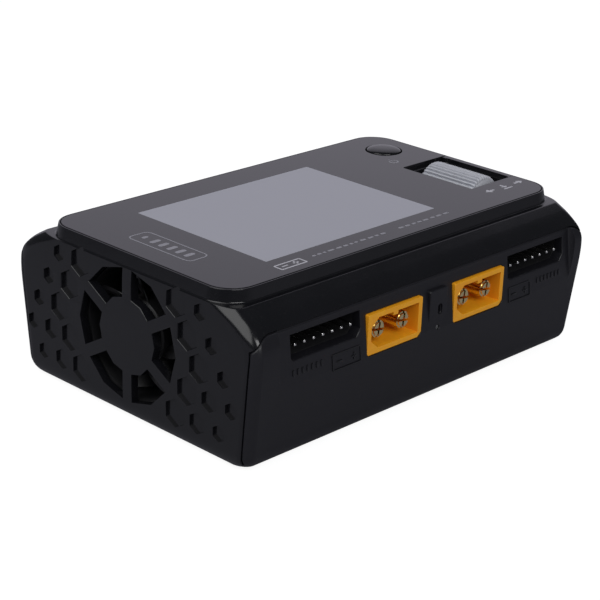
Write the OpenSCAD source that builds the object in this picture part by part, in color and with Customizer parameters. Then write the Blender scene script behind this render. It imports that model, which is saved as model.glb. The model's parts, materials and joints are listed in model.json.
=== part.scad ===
// Balance battery charger, two outputs, fan cooled, in millimetres.
// +X runs right along the connector face, +Y runs back, +Z is up.
// The origin is under the middle of the case, on the surface the feet rest on.

/* [Case] */
// Width across the two end faces
body_w = 99.4; // [84:0.2:122]
// Depth at the widest line of the front and back
body_d = 70; // [60:0.2:86]
// Height from the rest surface to the display panel
body_h = 34.5; // [33:0.1:42]
// Thickness of the case walls
wall = 2; // [1.6:0.1:2.6]
// Gap seen along the parting line
part_gap = 0.12; // [0.08:0.02:0.3]
// Height of the feet below the case
foot_h = 0.8; // [0.5:0.1:1.5]
// Diameter of each foot
foot_d = 9; // [6:0.5:11]

/* [Display] */
// Thickness of the glued front panel
panel_t = 1; // [0.8:0.1:1.2]
// Gap between the front panel and its lip
panel_gap = 0.2; // [0.1:0.05:0.3]
// Width of the display module
lcd_w = 60.3; // [50:0.1:62]
// Depth of the display module
lcd_d = 42.7; // [34:0.1:44]
// Distance of the display centre from the left end face
lcd_from_end = 42.45; // [40:0.05:50]

/* [Scroll wheel] */
// Radius of the ribbed drum
wheel_r = 5.15; // [4.2:0.05:5.4]
// Length of the drum
wheel_len = 15.2; // [12:0.1:16]
// Height of the drum above the panel
wheel_proud = 0.85; // [0.5:0.05:1.4]
// How far the drum can be pressed down
wheel_travel = 0.4; // [0.2:0.05:0.5]
// Radius of the wheel shaft
wheel_shaft_r = 1; // [0.8:0.05:1.2]
// Number of ribs round the drum
wheel_ribs = 36; // [24:1:48]

/* [Button] */
// Diameter of the round button
button_d = 7.8; // [6:0.1:9.4]
// Height of the button dome above the panel
button_proud = 0.7; // [0.4:0.1:1]
// How far the button can be pressed
button_travel = 0.35; // [0.2:0.05:0.4]

/* [Fan] */
// Side of the square fan frame
fan_size = 29; // [24:0.5:29]
// Thickness of the fan frame
fan_t = 8; // [6:0.5:10]
// Radius of the fan shaft
fan_shaft_r = 0.75; // [0.6:0.05:1]
// Number of fan blades
fan_blades = 7; // [5:1:9]
// Outer radius of the grille openings
grille_ro = 14.08; // [11:0.02:14.2]
// Inner radius of the grille openings
grille_ri = 8.08; // [6.5:0.02:8.5]
// Width of the grille spokes
grille_spoke = 2.6; // [1.8:0.1:3]
// Pitch of the six-sided pockets
hex_pitch = 6.56; // [5.4:0.02:6.8]
// Depth of the six-sided pockets
hex_depth = 0.8; // [0.6:0.1:1.4]

/* [Connectors] */
// Number of pins in each balance socket
bal_pins = 7; // [5:1:7]
// Pitch of the balance pins
bal_pitch = 2.5; // [2:0.1:2.6]
// Width of an output plug housing
out_w = 15.8; // [13.2:0.1:16]
// Height of an output plug housing
out_h = 8.4; // [7:0.1:8.6]
// Radius of an output pin
out_pin_r = 1.75; // [1.45:0.05:1.8]
pin_slot_turn = 9;             // the cross slots lean by this angle
pin_slot_end = 4.4;            // how deep they are cut, from the mouth
// Distance between the two pins of an output
out_pin_gap = 7.2; // [6.8:0.1:7.4]
// Distance between the two outputs, centre to centre
out_spacing = 25.7; // [24:0.1:30]
// Distance between the two balance sockets, centre to centre
bal_spacing = 64; // [60:0.1:72]

/* [Hidden] */

$fa = 6;
$fs = 0.4;
eps = 0.02;
run_fit = 0.05;                 // radial clearance of a turning or sliding fit
seat_fit = 0.1;                 // clearance of a part set into an opening
seat_eps = 0.01;                // clearance of a pin pressed into its seat
hw = body_w / 2;
hd = body_d / 2;
z_shelf = body_h - 2.75;        // ledge below the lip
z_seam = body_h - 6.4;          // parting line on the front and back
z_wide = body_h - 10.5;         // widest line
z_plate = body_h - panel_t;     // face the panel is glued to
z_ceiling = z_plate - 1.5;      // underside of the top plate
z_floor_in = foot_h + 1.8;      // inside face of the bottom
seam_corner = 4.9;              // size of the rounded end of the parting line
side_inset = wall + 0.1;        // wall of the bottom shell at its corners

// outline stations of the case, bottom to top: depth inset, width inset, corner radius, height
STATIONS = [[5.1, 1.7, 3, foot_h], [3.5, 0.9, 3, foot_h + 0.5], [2.4, 0.4, 3, foot_h + 1.5],
    [1.85, 0.3, 2.6, foot_h + 3.2], [0.05, 0, 2.5, z_wide - 2], [0, 0, 2.5, z_wide],
    [0.05, 0, 2.6, z_wide + 1.2], [0.35, 0, 2.8, z_wide + 2.2], [0.95, 0, 3, z_wide + 3],
    [1.65, 0, 3.2, z_seam - 0.35], [6.5, 0.15, 7.2, z_shelf - 0.45], [7.4, 0.6, 7.3, z_shelf]];
panel_hw = hw - 1.7;
panel_hd = hd - 9;
panel_r = 5.6;
LIP = [[7.7, 0.6, panel_r + 0.9, z_shelf - 0.3], [8.2, 1, panel_r + 0.5, body_h - 0.6],
    [8.3, 1.05, panel_r + 0.45, body_h - 0.1]];

// scroll wheel and its well
wheel_x = hw - 9.3;
wheel_y = -6.2;
wheel_z = body_h + wheel_proud - wheel_r;
well_x0 = wheel_x - wheel_r - 0.35;
well_x1 = hw - 2.9;
well_y0 = wheel_y - wheel_len / 2 - 1.1;
well_y1 = wheel_y + wheel_len / 2 + 1.4;
notch_y0 = well_y0 - 0.5;        // notch in the panel over the well
notch_y1 = well_y1 + 1.3;
arm_t = 1.3;
arm_y = wheel_len / 2 + 0.45;   // inner face of each carrier arm from the wheel centre
base_z = wheel_z - wheel_r - 2.4;
base_t = 1.3;
guide_r = 1;
guide_x = wheel_r - 1.25;        // the guides stand under the wheel, inside its outline
guide_y = wheel_len / 2 - 2;
GUIDES = [[wheel_x - guide_x, wheel_y - guide_y], [wheel_x + guide_x, wheel_y + guide_y]];
arm_r = wheel_shaft_r + 0.6;     // half width of a carrier arm and its rounded end
plunger_r = 1.6;

// button
button_x = hw - 9.5;
button_y = 15.8;
button_hole_r = button_d / 2 + 0.3;
button_flange_r = button_d / 2 + 0.9;
button_z0 = z_ceiling - 0.9;    // underside of the flange

// boards
main_z = 14.6;
main_t = 1.6;
main_top = main_z + main_t;
disp_t = 1.2;
disp_z = body_h - 7.5;
disp_top = disp_z + disp_t;
board_x0 = -hw + wall + 0.3 + fan_t + 0.8;
board_x1 = hw - wall - 0.8;
board_hd = hd - 4.2;            // half depth of the main board
disp_hd = hd - 6.4;             // half depth of the display board

// fan
fan_x0 = -hw + wall + 0.3;
fan_y = 0.7;
fan_z = body_h - 16.5;
fan_bore_r = fan_size / 2 - 0.9;
fan_hub_r = 7;
fan_peg = fan_size / 2 - 2.5;

// connectors
conn_x = 1.7;                   // middle of the connector row
out_z = body_h - 13.9;
out_y = -hd + 0.85;             // mouth of the outputs
out_len = 16;
out_cav = 8.6;                  // depth of the shroud
out_rim = 1.05;
out_shoulder = 0.3;             // how far the shoulder of a pin stands out
bal_z = body_h - 10.85;
bal_w = bal_pitch * (bal_pins - 1) + 3.8;
bal_h = 5;
bal_y = -hd + 3.75;             // front of the socket body, against the inner wall
bal_len = 8.6;
zone_x0 = -hw + 6.4;
zone_x1 = hw - 4.2;
zone_lean = 6.9;                // lean of the flat connector area
input_x = 14;
usb_x = -14;
usb_w = 13.2;
usb_h = 5.8;
usb_z = main_top + 0.1 + usb_h / 2;
rear_y = hd - 0.3;              // mouth of the rear connectors

// screws
SCREWS = [[-hw + wall + 3.4, -19.3], [hw - wall - 3.4, -19.3], [-hw + wall + 3.9, hd - 9], [hw - wall - 3.9, hd - 9]];
POSTS = [[board_x0 + 3.8, -hd + 8], [board_x0 + 3.8, hd - 8], [34, -hd + 8], [34, hd - 7.6]];
DISP_POSTS = [[-15, -hd + 10.6], [15, -hd + 10.6], [-34, hd - 10.6], [28, hd - 10.6]];
screw_r = 1.25;
boss_r = 2.8;
FEET = [[-hw + 14.5, -hd + 12.5], [hw - 14.5, -hd + 12.5], [-hw + 14.5, hd - 12.5], [hw - 14.5, hd - 12.5]];

// ---------- outlines ----------
function arc(cx, cy, r, a0, n) = [for (i = [0:n]) [cx + r * cos(a0 + 90 * i / n), cy + r * sin(a0 + 90 * i / n)]];
function rounded(a, b, r, n = 6) = concat(arc(a - r, b - r, r, 0, n), arc(-a + r, b - r, r, 90, n),
    arc(-a + r, -b + r, r, 180, n), arc(a - r, -b + r, r, 270, n));
function ribbed(r, depth, n) = [for (i = [0:n - 1], k = [0:3])
    let (a = 360 * (i + [0, 0.16, 0.5, 0.66][k]) / n, q = r - depth * [1, 0, 0, 1][k]) [q * cos(a), q * sin(a)]];

// extrudes a 2D shape along X (its x becomes Y, its y becomes Z)
module along_x(x0, x1) translate([x0, 0, 0]) rotate([90, 0, 90]) linear_extrude(x1 - x0) children();
// extrudes a 2D shape along Y (its x stays X, its y becomes Z)
module along_y(y0, y1) translate([0, y1, 0]) rotate([90, 0, 0]) linear_extrude(y1 - y0) children();
module box(x0, x1, y0, y1, z0, z1) translate([x0, y0, z0]) cube([x1 - x0, y1 - y0, z1 - z0]);
module rod_z(x, y, r, z0, z1) translate([x, y, z0]) cylinder(r = r, h = z1 - z0);
module rod_x(y, z, r, x0, x1) translate([x0, y, z]) rotate([0, 90, 0]) cylinder(r = r, h = x1 - x0);
module rod_y(x, z, r, y0, y1) translate([x, y1, z]) rotate([90, 0, 0]) cylinder(r = r, h = y1 - y0);
module stations(list) hull() for (s = list)
    translate([0, 0, s[3]]) linear_extrude(eps) polygon(rounded(hw - s[1], hd - s[0], s[2]));

// ---------- the case as one body, before it is parted ----------
module case_outer() {
    stations(STATIONS);
    stations(LIP);
}
// inside of the case, a prism along X with a rounded top
module case_hollow() {
    along_x(-hw + wall, hw - wall) polygon([
        [-hd + wall + 1.9, z_floor_in], [-hd + side_inset, z_wide], [-hd + wall + 1.4, z_seam - 1.3],
        [-hd + wall + 5.6, z_shelf - 2.3], [-hd + wall + 7.8, z_shelf - 1], [hd - wall - 7.8, z_shelf - 1],
        [hd - wall - 5.6, z_shelf - 2.3], [hd - wall - 1.4, z_seam - 1.3], [hd - side_inset, z_wide],
        [hd - wall - 1.9, z_floor_in]]);
    translate([0, 0, z_shelf - 1.1]) linear_extrude(z_ceiling - z_shelf + 1.1) polygon(rounded(hw - wall - 1, hd - 10, 7.4));
}
// space of the bottom shell, grown by g: all below the seam except the two end walls
module lower_zone(g) difference() {
    along_y(-hd - 5, hd + 5) polygon(concat([[-hw - 1, -1], [hw + 1, -1]],
        [for (i = [0:8]) [hw + 0.3 - seam_corner + seam_corner * cos(11.25 * i) + g, 0] + [0, z_seam - seam_corner + seam_corner * sin(11.25 * i) + g]],
        [for (i = [8:-1:0]) [-hw - 0.3 + seam_corner - seam_corner * cos(11.25 * i) - g, z_seam - seam_corner + seam_corner * sin(11.25 * i) + g]]));
    for (s = [-1, 1]) along_x(s < 0 ? -hw - 2 : hw - wall + g, s < 0 ? -hw + wall - g : hw + 2) polygon([
        [-hd + 3.95 + g, -2], [-hd + 3.95 + g, foot_h + 3], [-hd + side_inset + g, z_wide], [-hd + 2.6, z_seam + 3],
        [hd - 2.6, z_seam + 3], [hd - side_inset - g, z_wide], [hd - 3.95 - g, foot_h + 3], [hd - 3.95 - g, -2]]);
}

// ---------- end face pattern ----------
// [half pitches from the fan axis, row, size] of the pockets on one side
HEXES = concat([for (q = [[6.25, 0], [5.25, 1], [5.25, -1], [4.25, 2], [4.25, -2]]) [q[0], q[1], 0.8]],
    [[7.1, -1, 0.6], [6.1, -2, 0.6]],
    [[8.25, 0, 0.46], [7.25, 1, 0.46], [6.25, 2, 0.46], [8.9, -1, 0.46], [7.9, -2, 0.46]]);
module hexes() for (h = HEXES, s = [-1, 1])
    translate([fan_y + s * h[0] * hex_pitch / 2, fan_z + h[1] * hex_pitch * sqrt(3) / 2 - 0.1])
        rotate(30) circle(r = h[2] * hex_pitch / sqrt(3), $fn = 6);
module grille() translate([fan_y, fan_z]) difference() {
    circle(r = grille_ro, $fn = 12);
    circle(r = grille_ri, $fn = 12);
    for (a = [30, 90, 150]) rotate(a) square([2 * grille_ro + 2, grille_spoke], center = true);
}

module top_shell() color([0.06, 0.06, 0.07]) difference() {
    union() {
        difference() {
            case_outer();
            case_hollow();
            lower_zone(part_gap / 2);
        }
        // bosses for the case screws
        for (p = SCREWS) rod_z(p[0], p[1], boss_r, foot_h + 4.4, p[1] > 0 ? z_ceiling - 1.4 : z_ceiling + 0.4);
        // posts for the display board
        for (p = DISP_POSTS) rod_z(p[0], p[1], 2, disp_top, z_ceiling + 0.3);
        // pegs that hold the fan
        for (a = [-1, 1], b = [-1, 1]) rod_x(fan_y + a * fan_peg, fan_z + b * fan_peg, 1.15, -hw + wall - 0.3, fan_x0 + 4);
    }
    for (p = SCREWS) rod_z(p[0], p[1], screw_r + eps, foot_h + 4, foot_h + 12);
    for (p = DISP_POSTS) rod_z(p[0], p[1], 0.8 + eps, disp_top - 1, z_ceiling - 0.6);
    // panel seat, which leaves the shell at its full height beyond the wheel
    difference() {
        translate([0, 0, z_plate]) linear_extrude(5) polygon(rounded(panel_hw + panel_gap, panel_hd + panel_gap, panel_r + panel_gap));
        box(well_x1, hw, notch_y0 + panel_gap, notch_y1 - panel_gap, z_plate - 1, body_h + 6);
    }
    // display opening
    box(-hw + lcd_from_end - lcd_w / 2 - 0.3, -hw + lcd_from_end + lcd_w / 2 + 0.3, -0.35 - lcd_d / 2 - 0.3, -0.35 + lcd_d / 2 + 0.3, z_ceiling - 1, body_h);
    // button hole and wheel well
    rod_z(button_x, button_y, button_hole_r, z_ceiling - 1, body_h);
    box(well_x0, well_x1, well_y0, well_y1, z_ceiling - 1, body_h);
    // room over the arms of the wheel carrier, for a wheel that sits higher
    box(wheel_x - arm_r - 0.3, wheel_x + arm_r + 0.3, wheel_y - arm_y - arm_t - 0.3, wheel_y + arm_y + arm_t + 0.3,
        z_ceiling - 1, wheel_z + arm_r + 0.15);
    // room for the fan under the top plate
    box(-hw + wall, fan_x0 + fan_t + 0.4, fan_y - fan_size / 2 - 0.3, fan_y + fan_size / 2 + 0.3, z_ceiling - 3, fan_z + fan_size / 2 + 0.2);
    along_x(-hw - 1, -hw + wall + 0.01) grille();
    for (s = [-1, 1]) along_x(s < 0 ? -hw - 1 : hw - hex_depth, s < 0 ? -hw + hex_depth : hw + 1) hexes();
    // air outlet slots in the right end
    for (i = [-4:4]) translate([0, fan_y + 2.9 * i, fan_z - 3]) box(hw - wall - 0.01, hw + 1, -0.8, 0.8, -6.5 + abs(i) * 0.7, 6.5 - abs(i) * 0.7);
}

module bottom_shell() color([0.08, 0.08, 0.09]) difference() {
    union() {
        difference() {
            intersection() {
                case_outer();
                lower_zone(-part_gap / 2);
            }
            case_hollow();
        }
        // thicker wall behind the connectors
        box(zone_x0 - 1, zone_x1 + 0.6, -hd + 1.9, -hd + 3.6, z_wide - 16, z_seam - 0.6);
        box(input_x - 11, input_x + 11, hd - 3.2, hd - 1.4, main_top + 0.2, out_z + 5.6);
        for (p = SCREWS) rod_z(p[0], p[1], 3.2, foot_h + 1, foot_h + 4.3);
        for (p = POSTS) rod_z(p[0], p[1], 2.2, foot_h + 1, main_z);
        // block between the two outputs
        box(conn_x - 2.7, conn_x + 2.7, -hd + 0.75, -hd + 2, out_z - 4.4, out_z + 4.5);
    }
    // flat connector area, leaning back at its top
    difference() {
        translate([0, -hd + 2, z_seam]) rotate([-zone_lean, 0, 0]) along_y(-6, 0)
            translate([(zone_x0 + zone_x1) / 2, -6.2]) polygon(rounded((zone_x1 - zone_x0) / 2, 8.2, 2.6));
        box(conn_x - 2.7, conn_x + 2.7, -hd + 0.75, 0, out_z - 9, out_z + 4.5);
    }
    // outputs, balance sockets and the holes between them
    for (s = [-1, 1]) {
        along_y(-hd - 3, -hd + 8) translate([conn_x + s * out_spacing / 2, out_z]) offset(delta = seat_fit) out_outline();
        along_y(-hd - 3, -hd + 8) translate([conn_x + 0.2 + s * bal_spacing / 2, bal_z]) bal_outline();
    }
    along_y(-hd - 3, -hd + 6) translate([conn_x + 0.5, out_z + 0.1]) { translate([0, 0.5]) circle(r = 0.55); translate([0, -0.5]) circle(r = 0.55); square([1.1, 1], center = true); }
    rod_y(conn_x, main_top + 0.75, 0.5 + eps, -hd - 3, -hd + 6);
    // rear openings
    along_y(hd - 8, hd + 3) translate([input_x, out_z]) offset(delta = seat_fit) mirror([1, 0]) out_outline();
    box(usb_x - usb_w / 2 - 0.15, usb_x + usb_w / 2 + 0.15, hd - 8, hd + 3, usb_z - usb_h / 2 - 0.15, usb_z + usb_h / 2 + 0.15);
    // screw holes and foot seats
    for (p = SCREWS) {
        rod_z(p[0], p[1], 1.4, foot_h - 1, foot_h + 6);
        rod_z(p[0], p[1], 2.5, foot_h - 1, foot_h + 2.4);
    }
    for (p = POSTS) rod_z(p[0], p[1], 0.9 + eps, main_z - 7, main_z + 1);
    for (p = FEET) rod_z(p[0], p[1], foot_d / 2 + 0.05, foot_h - 1, foot_h + 0.5);
}

module front_panel() color([0.1, 0.1, 0.11]) difference() {
    translate([0, 0, z_plate]) linear_extrude(panel_t) polygon(rounded(panel_hw, panel_hd, panel_r, 10));
    rod_z(button_x, button_y, button_hole_r + 0.05, z_plate - 1, body_h + 1);
    box(well_x0 - 1.4, hw, notch_y0, notch_y1, z_plate - 1, body_h + 1);
}
module display_tray() color([0.75, 0.76, 0.78]) translate([-hw + lcd_from_end, -0.35, 0]) difference() {
    box(-lcd_w / 2, lcd_w / 2, -lcd_d / 2, lcd_d / 2, z_plate - 2.4, z_plate - 0.05);
    box(-lcd_w / 2 + 1, lcd_w / 2 - 1, -lcd_d / 2 + 1, lcd_d / 2 - 1, z_plate - 1.3, z_plate + 1);
}
module display_glass() color([0.2, 0.2, 0.22]) translate([-hw + lcd_from_end, -0.35, 0])
    box(-lcd_w / 2 + 1.1, lcd_w / 2 - 1.1, -lcd_d / 2 + 1.1, lcd_d / 2 - 1.1, z_plate - 1.3, z_plate - 0.05);
module display_ribbon() color([0.7, 0.45, 0.1]) translate([-hw + lcd_from_end, 0, 0])
    box(-6, 6, -15.2, -15, disp_top, z_plate - 2.4);

module button_cap() color([0.05, 0.05, 0.06]) translate([button_x, button_y, 0]) {
    rod_z(0, 0, button_flange_r, button_z0, z_ceiling - 0.1);
    rod_z(0, 0, button_d / 2, z_ceiling - 0.2, body_h);
    // shallow dome
    intersection() {
        rod_z(0, 0, button_d / 2, body_h - 0.1, body_h + button_proud + 1);
        translate([0, 0, body_h + button_proud - dome_r()]) sphere(r = dome_r(), $fn = 96);
    }
    rod_z(0, 0, 1.6, button_z0 - 0.6, button_z0 + 0.1);
}
function dome_r() = (pow(button_d / 2, 2) + pow(button_proud, 2)) / (2 * button_proud);
module button_switch() color([0.15, 0.15, 0.16]) translate([button_x, button_y, 0]) difference() {
    box(-3, 3, -3, 3, disp_top, button_z0 - 1);
    rod_z(0, 0, plunger_r + run_fit, disp_top + 0.6, button_z0);
}
module button_plunger() color([0.85, 0.85, 0.8])
    rod_z(button_x, button_y, plunger_r, disp_top + 0.6 + button_travel, button_z0 - 0.6);

module scroll_wheel() color([0.66, 0.67, 0.7]) translate([wheel_x, wheel_y, wheel_z]) difference() {
    union() {
        along_y(-wheel_len / 2 + 0.5, wheel_len / 2 - 0.5) polygon(ribbed(wheel_r, 0.3, wheel_ribs));
        rod_y(0, 0, wheel_r - 0.45, -wheel_len / 2, wheel_len / 2);
    }
    rod_y(0, 0, wheel_shaft_r + seat_eps, -wheel_len, wheel_len);
}
module wheel_shaft() color([0.8, 0.8, 0.82])
    rod_y(wheel_x, wheel_z, wheel_shaft_r, wheel_y - arm_y - arm_t + 0.1, wheel_y + arm_y + arm_t - 0.1);
module wheel_carrier() color([0.12, 0.12, 0.13]) translate([wheel_x, wheel_y, 0]) difference() {
    union() {
        box(-wheel_r - 0.05, wheel_r + 0.05, -arm_y - arm_t, arm_y + arm_t, base_z, base_z + base_t);
        for (s = [-1, 1]) {
            box(-arm_r, arm_r, s * (arm_y + arm_t / 2) - arm_t / 2, s * (arm_y + arm_t / 2) + arm_t / 2, base_z, wheel_z);
            rod_y(0, wheel_z, arm_r, s * (arm_y + arm_t / 2) - arm_t / 2, s * (arm_y + arm_t / 2) + arm_t / 2);
        }
    }
    rod_y(0, wheel_z, wheel_shaft_r + run_fit, -20, 20);
    for (g = GUIDES) rod_z(g[0] - wheel_x, g[1] - wheel_y, guide_r + run_fit, base_z - 1, base_z + 3);
}
module wheel_guide_pins() color([0.8, 0.8, 0.82]) for (g = GUIDES) rod_z(g[0], g[1], guide_r, main_top, base_z + base_t + 0.6);
module wheel_switch() color([0.15, 0.15, 0.16]) translate([wheel_x, wheel_y, 0]) difference() {
    box(-3, 3, -3, 3, main_top, base_z - 0.7);
    rod_z(0, 0, plunger_r + run_fit, base_z - 2.4, base_z);
}
module wheel_plunger() color([0.85, 0.85, 0.8]) rod_z(wheel_x, wheel_y, plunger_r, base_z - 2.4 + wheel_travel, base_z);

// ---------- connectors ----------
module out_outline() polygon([[-out_w / 2, -out_h / 2 + 0.4], [-out_w / 2 + 0.4, -out_h / 2], [out_w / 2 - 1, -out_h / 2],
    [out_w / 2, -out_h / 2 + 1], [out_w / 2, out_h / 2 - 0.2], [out_w / 2 - 0.2, out_h / 2], [-out_w / 2 + 0.2, out_h / 2], [-out_w / 2, out_h / 2 - 0.2]]);
module out_cavity() polygon([[-out_w / 2 + out_rim, -out_h / 2 + out_rim + 1.7], [-out_w / 2 + out_rim + 2, -out_h / 2 + out_rim],
    [out_w / 2 - out_rim, -out_h / 2 + out_rim], [out_w / 2 - out_rim, out_h / 2 - out_rim],
    [0.7, out_h / 2 - out_rim], [0.7, out_h / 2 - out_rim - 0.7], [-0.7, out_h / 2 - out_rim - 0.7], [-0.7, out_h / 2 - out_rim],
    [-out_w / 2 + out_rim + 2, out_h / 2 - out_rim], [-out_w / 2 + out_rim, out_h / 2 - out_rim - 1.7]]);
// housing at the origin, mouth towards -Y
module out_housing() difference() {
    along_y(0, out_len) out_outline();
    along_y(-1, out_cav) out_cavity();
    for (s = [-1, 1]) rod_y(s * out_pin_gap / 2, 0, out_pin_r + out_shoulder + seat_eps, 0, out_len + 1);
}
module out_pins() for (s = [-1, 1]) translate([s * out_pin_gap / 2, 0, 0]) difference() {
    union() {
        rod_y(0, 0, out_pin_r - 0.35, 1, 2);
        rod_y(0, 0, out_pin_r, 1.35, out_cav + 0.1);
        rod_y(0, 0, out_pin_r + out_shoulder, out_cav, out_len + 0.8);
    }
    for (a = [0, 90]) rotate([0, a + pin_slot_turn, 0]) box(-out_pin_r - 1, out_pin_r + 1, 0, pin_slot_end, -0.25, 0.25);
}
module bal_outline() polygon([[-bal_w / 2, -bal_h / 2 + 0.5], [-bal_w / 2 + 0.5, -bal_h / 2], [bal_w / 2 - 1.2, -bal_h / 2],
    [bal_w / 2, -bal_h / 2 + 1.4], [bal_w / 2, bal_h / 2], [-bal_w / 2, bal_h / 2]]);
module bal_socket() difference() {
    box(-bal_w / 2 - 0.7, bal_w / 2 + 0.7, 0, bal_len, -bal_h / 2 - 0.7, bal_h / 2 + 0.7);
    along_y(-1, bal_len - 1.6) bal_outline();
    for (i = [0:bal_pins - 1]) translate([(i - (bal_pins - 1) / 2) * bal_pitch, 0, 0]) box(-0.32 - seat_eps, 0.32 + seat_eps, 0, bal_len + 1, -0.32 - seat_eps, 0.32 + seat_eps);
}
module bal_pin_row() for (i = [0:bal_pins - 1]) translate([(i - (bal_pins - 1) / 2) * bal_pitch, 0, 0]) {
    box(-0.32, 0.32, -1.6, bal_len + 0.9, -0.32, 0.32);
    box(-0.32, 0.32, bal_len + 0.26, bal_len + 0.9, -0.32, disp_z - bal_z);
}
module bal_place(s) translate([conn_x + 0.2 + s * bal_spacing / 2, bal_y, bal_z]) children();
module out_place(s) translate([conn_x + s * out_spacing / 2, out_y, out_z]) children();
module rear_place() translate([input_x, rear_y, out_z]) rotate([0, 0, 180]) children();
module balance_socket_left() color([0.03, 0.03, 0.03]) bal_place(-1) bal_socket();
module balance_pins_left() color([0.85, 0.85, 0.85]) bal_place(-1) bal_pin_row();
module balance_socket_right() color([0.03, 0.03, 0.03]) bal_place(1) bal_socket();
module balance_pins_right() color([0.85, 0.85, 0.85]) bal_place(1) bal_pin_row();
module output_left() color([0.9, 0.5, 0.1]) out_place(-1) out_housing();
module output_pins_left() color([0.9, 0.75, 0.4]) out_place(-1) out_pins();
module output_right() color([0.9, 0.5, 0.1]) out_place(1) out_housing();
module output_pins_right() color([0.9, 0.75, 0.4]) out_place(1) out_pins();
module input_plug() color([0.9, 0.5, 0.1]) rear_place() out_housing();
module input_pins() color([0.9, 0.75, 0.4]) rear_place() out_pins();
module usb_shell() color([0.75, 0.76, 0.78]) translate([usb_x, 0, usb_z]) difference() {
    box(-usb_w / 2, usb_w / 2, hd - 14, rear_y, -usb_h / 2, usb_h / 2);
    box(-usb_w / 2 + 0.35, usb_w / 2 - 0.35, hd - 13.5, rear_y + 1, -usb_h / 2 + 0.35, usb_h / 2 - 0.35);
}
module usb_tongue() color([0.9, 0.9, 0.92]) translate([usb_x, 0, usb_z]) {
    box(-5.5, 5.5, hd - 12.5, rear_y - 1, 0.4, 2.2);
    box(-usb_w / 2 + 0.35 + eps, usb_w / 2 - 0.35 - eps, hd - 13.5 + eps, hd - 12.4, -usb_h / 2 + 0.35 + eps, usb_h / 2 - 0.35 - eps);
}

// ---------- fan ----------
module fan_frame() color([0.07, 0.07, 0.08]) translate([0, fan_y, fan_z]) difference() {
    union() {
        difference() {
            along_x(fan_x0, fan_x0 + fan_t) polygon(rounded(fan_size / 2, fan_size / 2, 2.2));
            rod_x(0, 0, fan_bore_r, fan_x0 - 1, fan_x0 + fan_t + 1);
        }
        rod_x(0, 0, fan_hub_r + 0.2, fan_x0 + fan_t - 1.2, fan_x0 + fan_t);
        for (a = [45, 135]) rotate([a, 0, 0]) box(fan_x0 + fan_t - 1.2, fan_x0 + fan_t, -fan_bore_r - 0.3, fan_bore_r + 0.3, -0.9, 0.9);
    }
    rod_x(0, 0, fan_shaft_r + run_fit + 0.9, fan_x0 - 1, fan_x0 + fan_t + 1);
    for (a = [-1, 1], b = [-1, 1]) rod_x(a * fan_peg, b * fan_peg, 1.2, fan_x0 - 1, fan_x0 + fan_t + 1);
}
module fan_rotor() color([0.09, 0.09, 0.1]) translate([0, fan_y, fan_z]) difference() {
    union() {
        rod_x(0, 0, fan_hub_r, fan_x0 + 0.8, fan_x0 + fan_t - 1.6);
        for (i = [0:fan_blades - 1]) rotate([360 * i / fan_blades, 0, 0]) intersection() {
            translate([fan_x0 + fan_t / 2 - 0.4, 0, 0]) rotate([0, 0, 38]) box(-5, 5, -0.45, 0.45, 0, fan_bore_r);
            difference() {
                rod_x(0, 0, fan_bore_r - 0.45, fan_x0 + 0.9, fan_x0 + fan_t - 1.8);
                rod_x(0, 0, fan_hub_r - 0.3, fan_x0, fan_x0 + fan_t);
            }
        }
    }
    rod_x(0, 0, fan_hub_r - 0.9, fan_x0 + 1.7, fan_x0 + fan_t);
    rod_x(0, 0, fan_shaft_r + seat_eps, fan_x0 + 1, fan_x0 + fan_t);
}
module fan_shaft() color([0.8, 0.8, 0.82]) rod_x(fan_y, fan_z, fan_shaft_r, fan_x0 + 1, fan_x0 + fan_t - 0.2);
module fan_bearing() color([0.75, 0.6, 0.3]) difference() {
    rod_x(fan_y, fan_z, fan_shaft_r + run_fit + 0.9, fan_x0 + 2.2, fan_x0 + fan_t);
    rod_x(fan_y, fan_z, fan_shaft_r + run_fit, fan_x0, fan_x0 + fan_t + 1);
}
module fan_stator() color([0.7, 0.35, 0.15]) difference() {
    rod_x(fan_y, fan_z, fan_hub_r - 1.5, fan_x0 + 2.5, fan_x0 + fan_t - 1.2);
    rod_x(fan_y, fan_z, fan_shaft_r + run_fit + 0.9, fan_x0, fan_x0 + fan_t);
}

// ---------- boards and what is on them ----------
// notch in a board's end edge, round a boss of the top shell
module boss_notch(p, z) box(p[0] > 0 ? p[0] - boss_r - 0.5 : -hw, p[0] > 0 ? hw : p[0] + boss_r + 0.5,
    p[1] - boss_r - 0.5, p[1] + boss_r + 0.5, z - 1, z + 3);
module main_board() color([0.05, 0.25, 0.12]) difference() {
    box(board_x0, board_x1, -board_hd, board_hd, main_z, main_top);
    for (p = SCREWS) boss_notch(p, main_z);
    for (p = POSTS) rod_z(p[0], p[1], 1.1, main_z - 1, main_top + 1);
}
module display_board() color([0.05, 0.25, 0.12]) difference() {
    box(board_x0, board_x1, -disp_hd, disp_hd, disp_z, disp_top);
    for (p = SCREWS) boss_notch(p, disp_z);
    for (p = DISP_POSTS) rod_z(p[0], p[1], 1, disp_z - 1, disp_top + 1);
    box(wheel_x - wheel_r - 1, hw, wheel_y - arm_y - arm_t - 0.8, wheel_y + arm_y + arm_t + 0.8, disp_z - 1, disp_top + 1);
}
module board_link() color([0.05, 0.05, 0.05]) box(-6, 5, hd - 11, hd - 7, main_top, disp_z);
module heatsink() color([0.6, 0.6, 0.62]) {
    box(-30, 30, -20, 22, main_z - 3.4, main_z - 1);
    for (i = [0:9]) box(-30, 30, -20 + 4.5 * i, -18.5 + 4.5 * i, z_floor_in + 1, main_z - 3.3);
}
module thermal_pads() color([0.75, 0.7, 0.6]) for (x = [-24, 6]) box(x, x + 18, -8, 10, main_z - 1, main_z);
module inductors() color([0.25, 0.25, 0.27]) for (x = [-26, 20]) box(x - 6.5, x + 6.5, -8, 5, main_top, main_top + 7.5);
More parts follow.
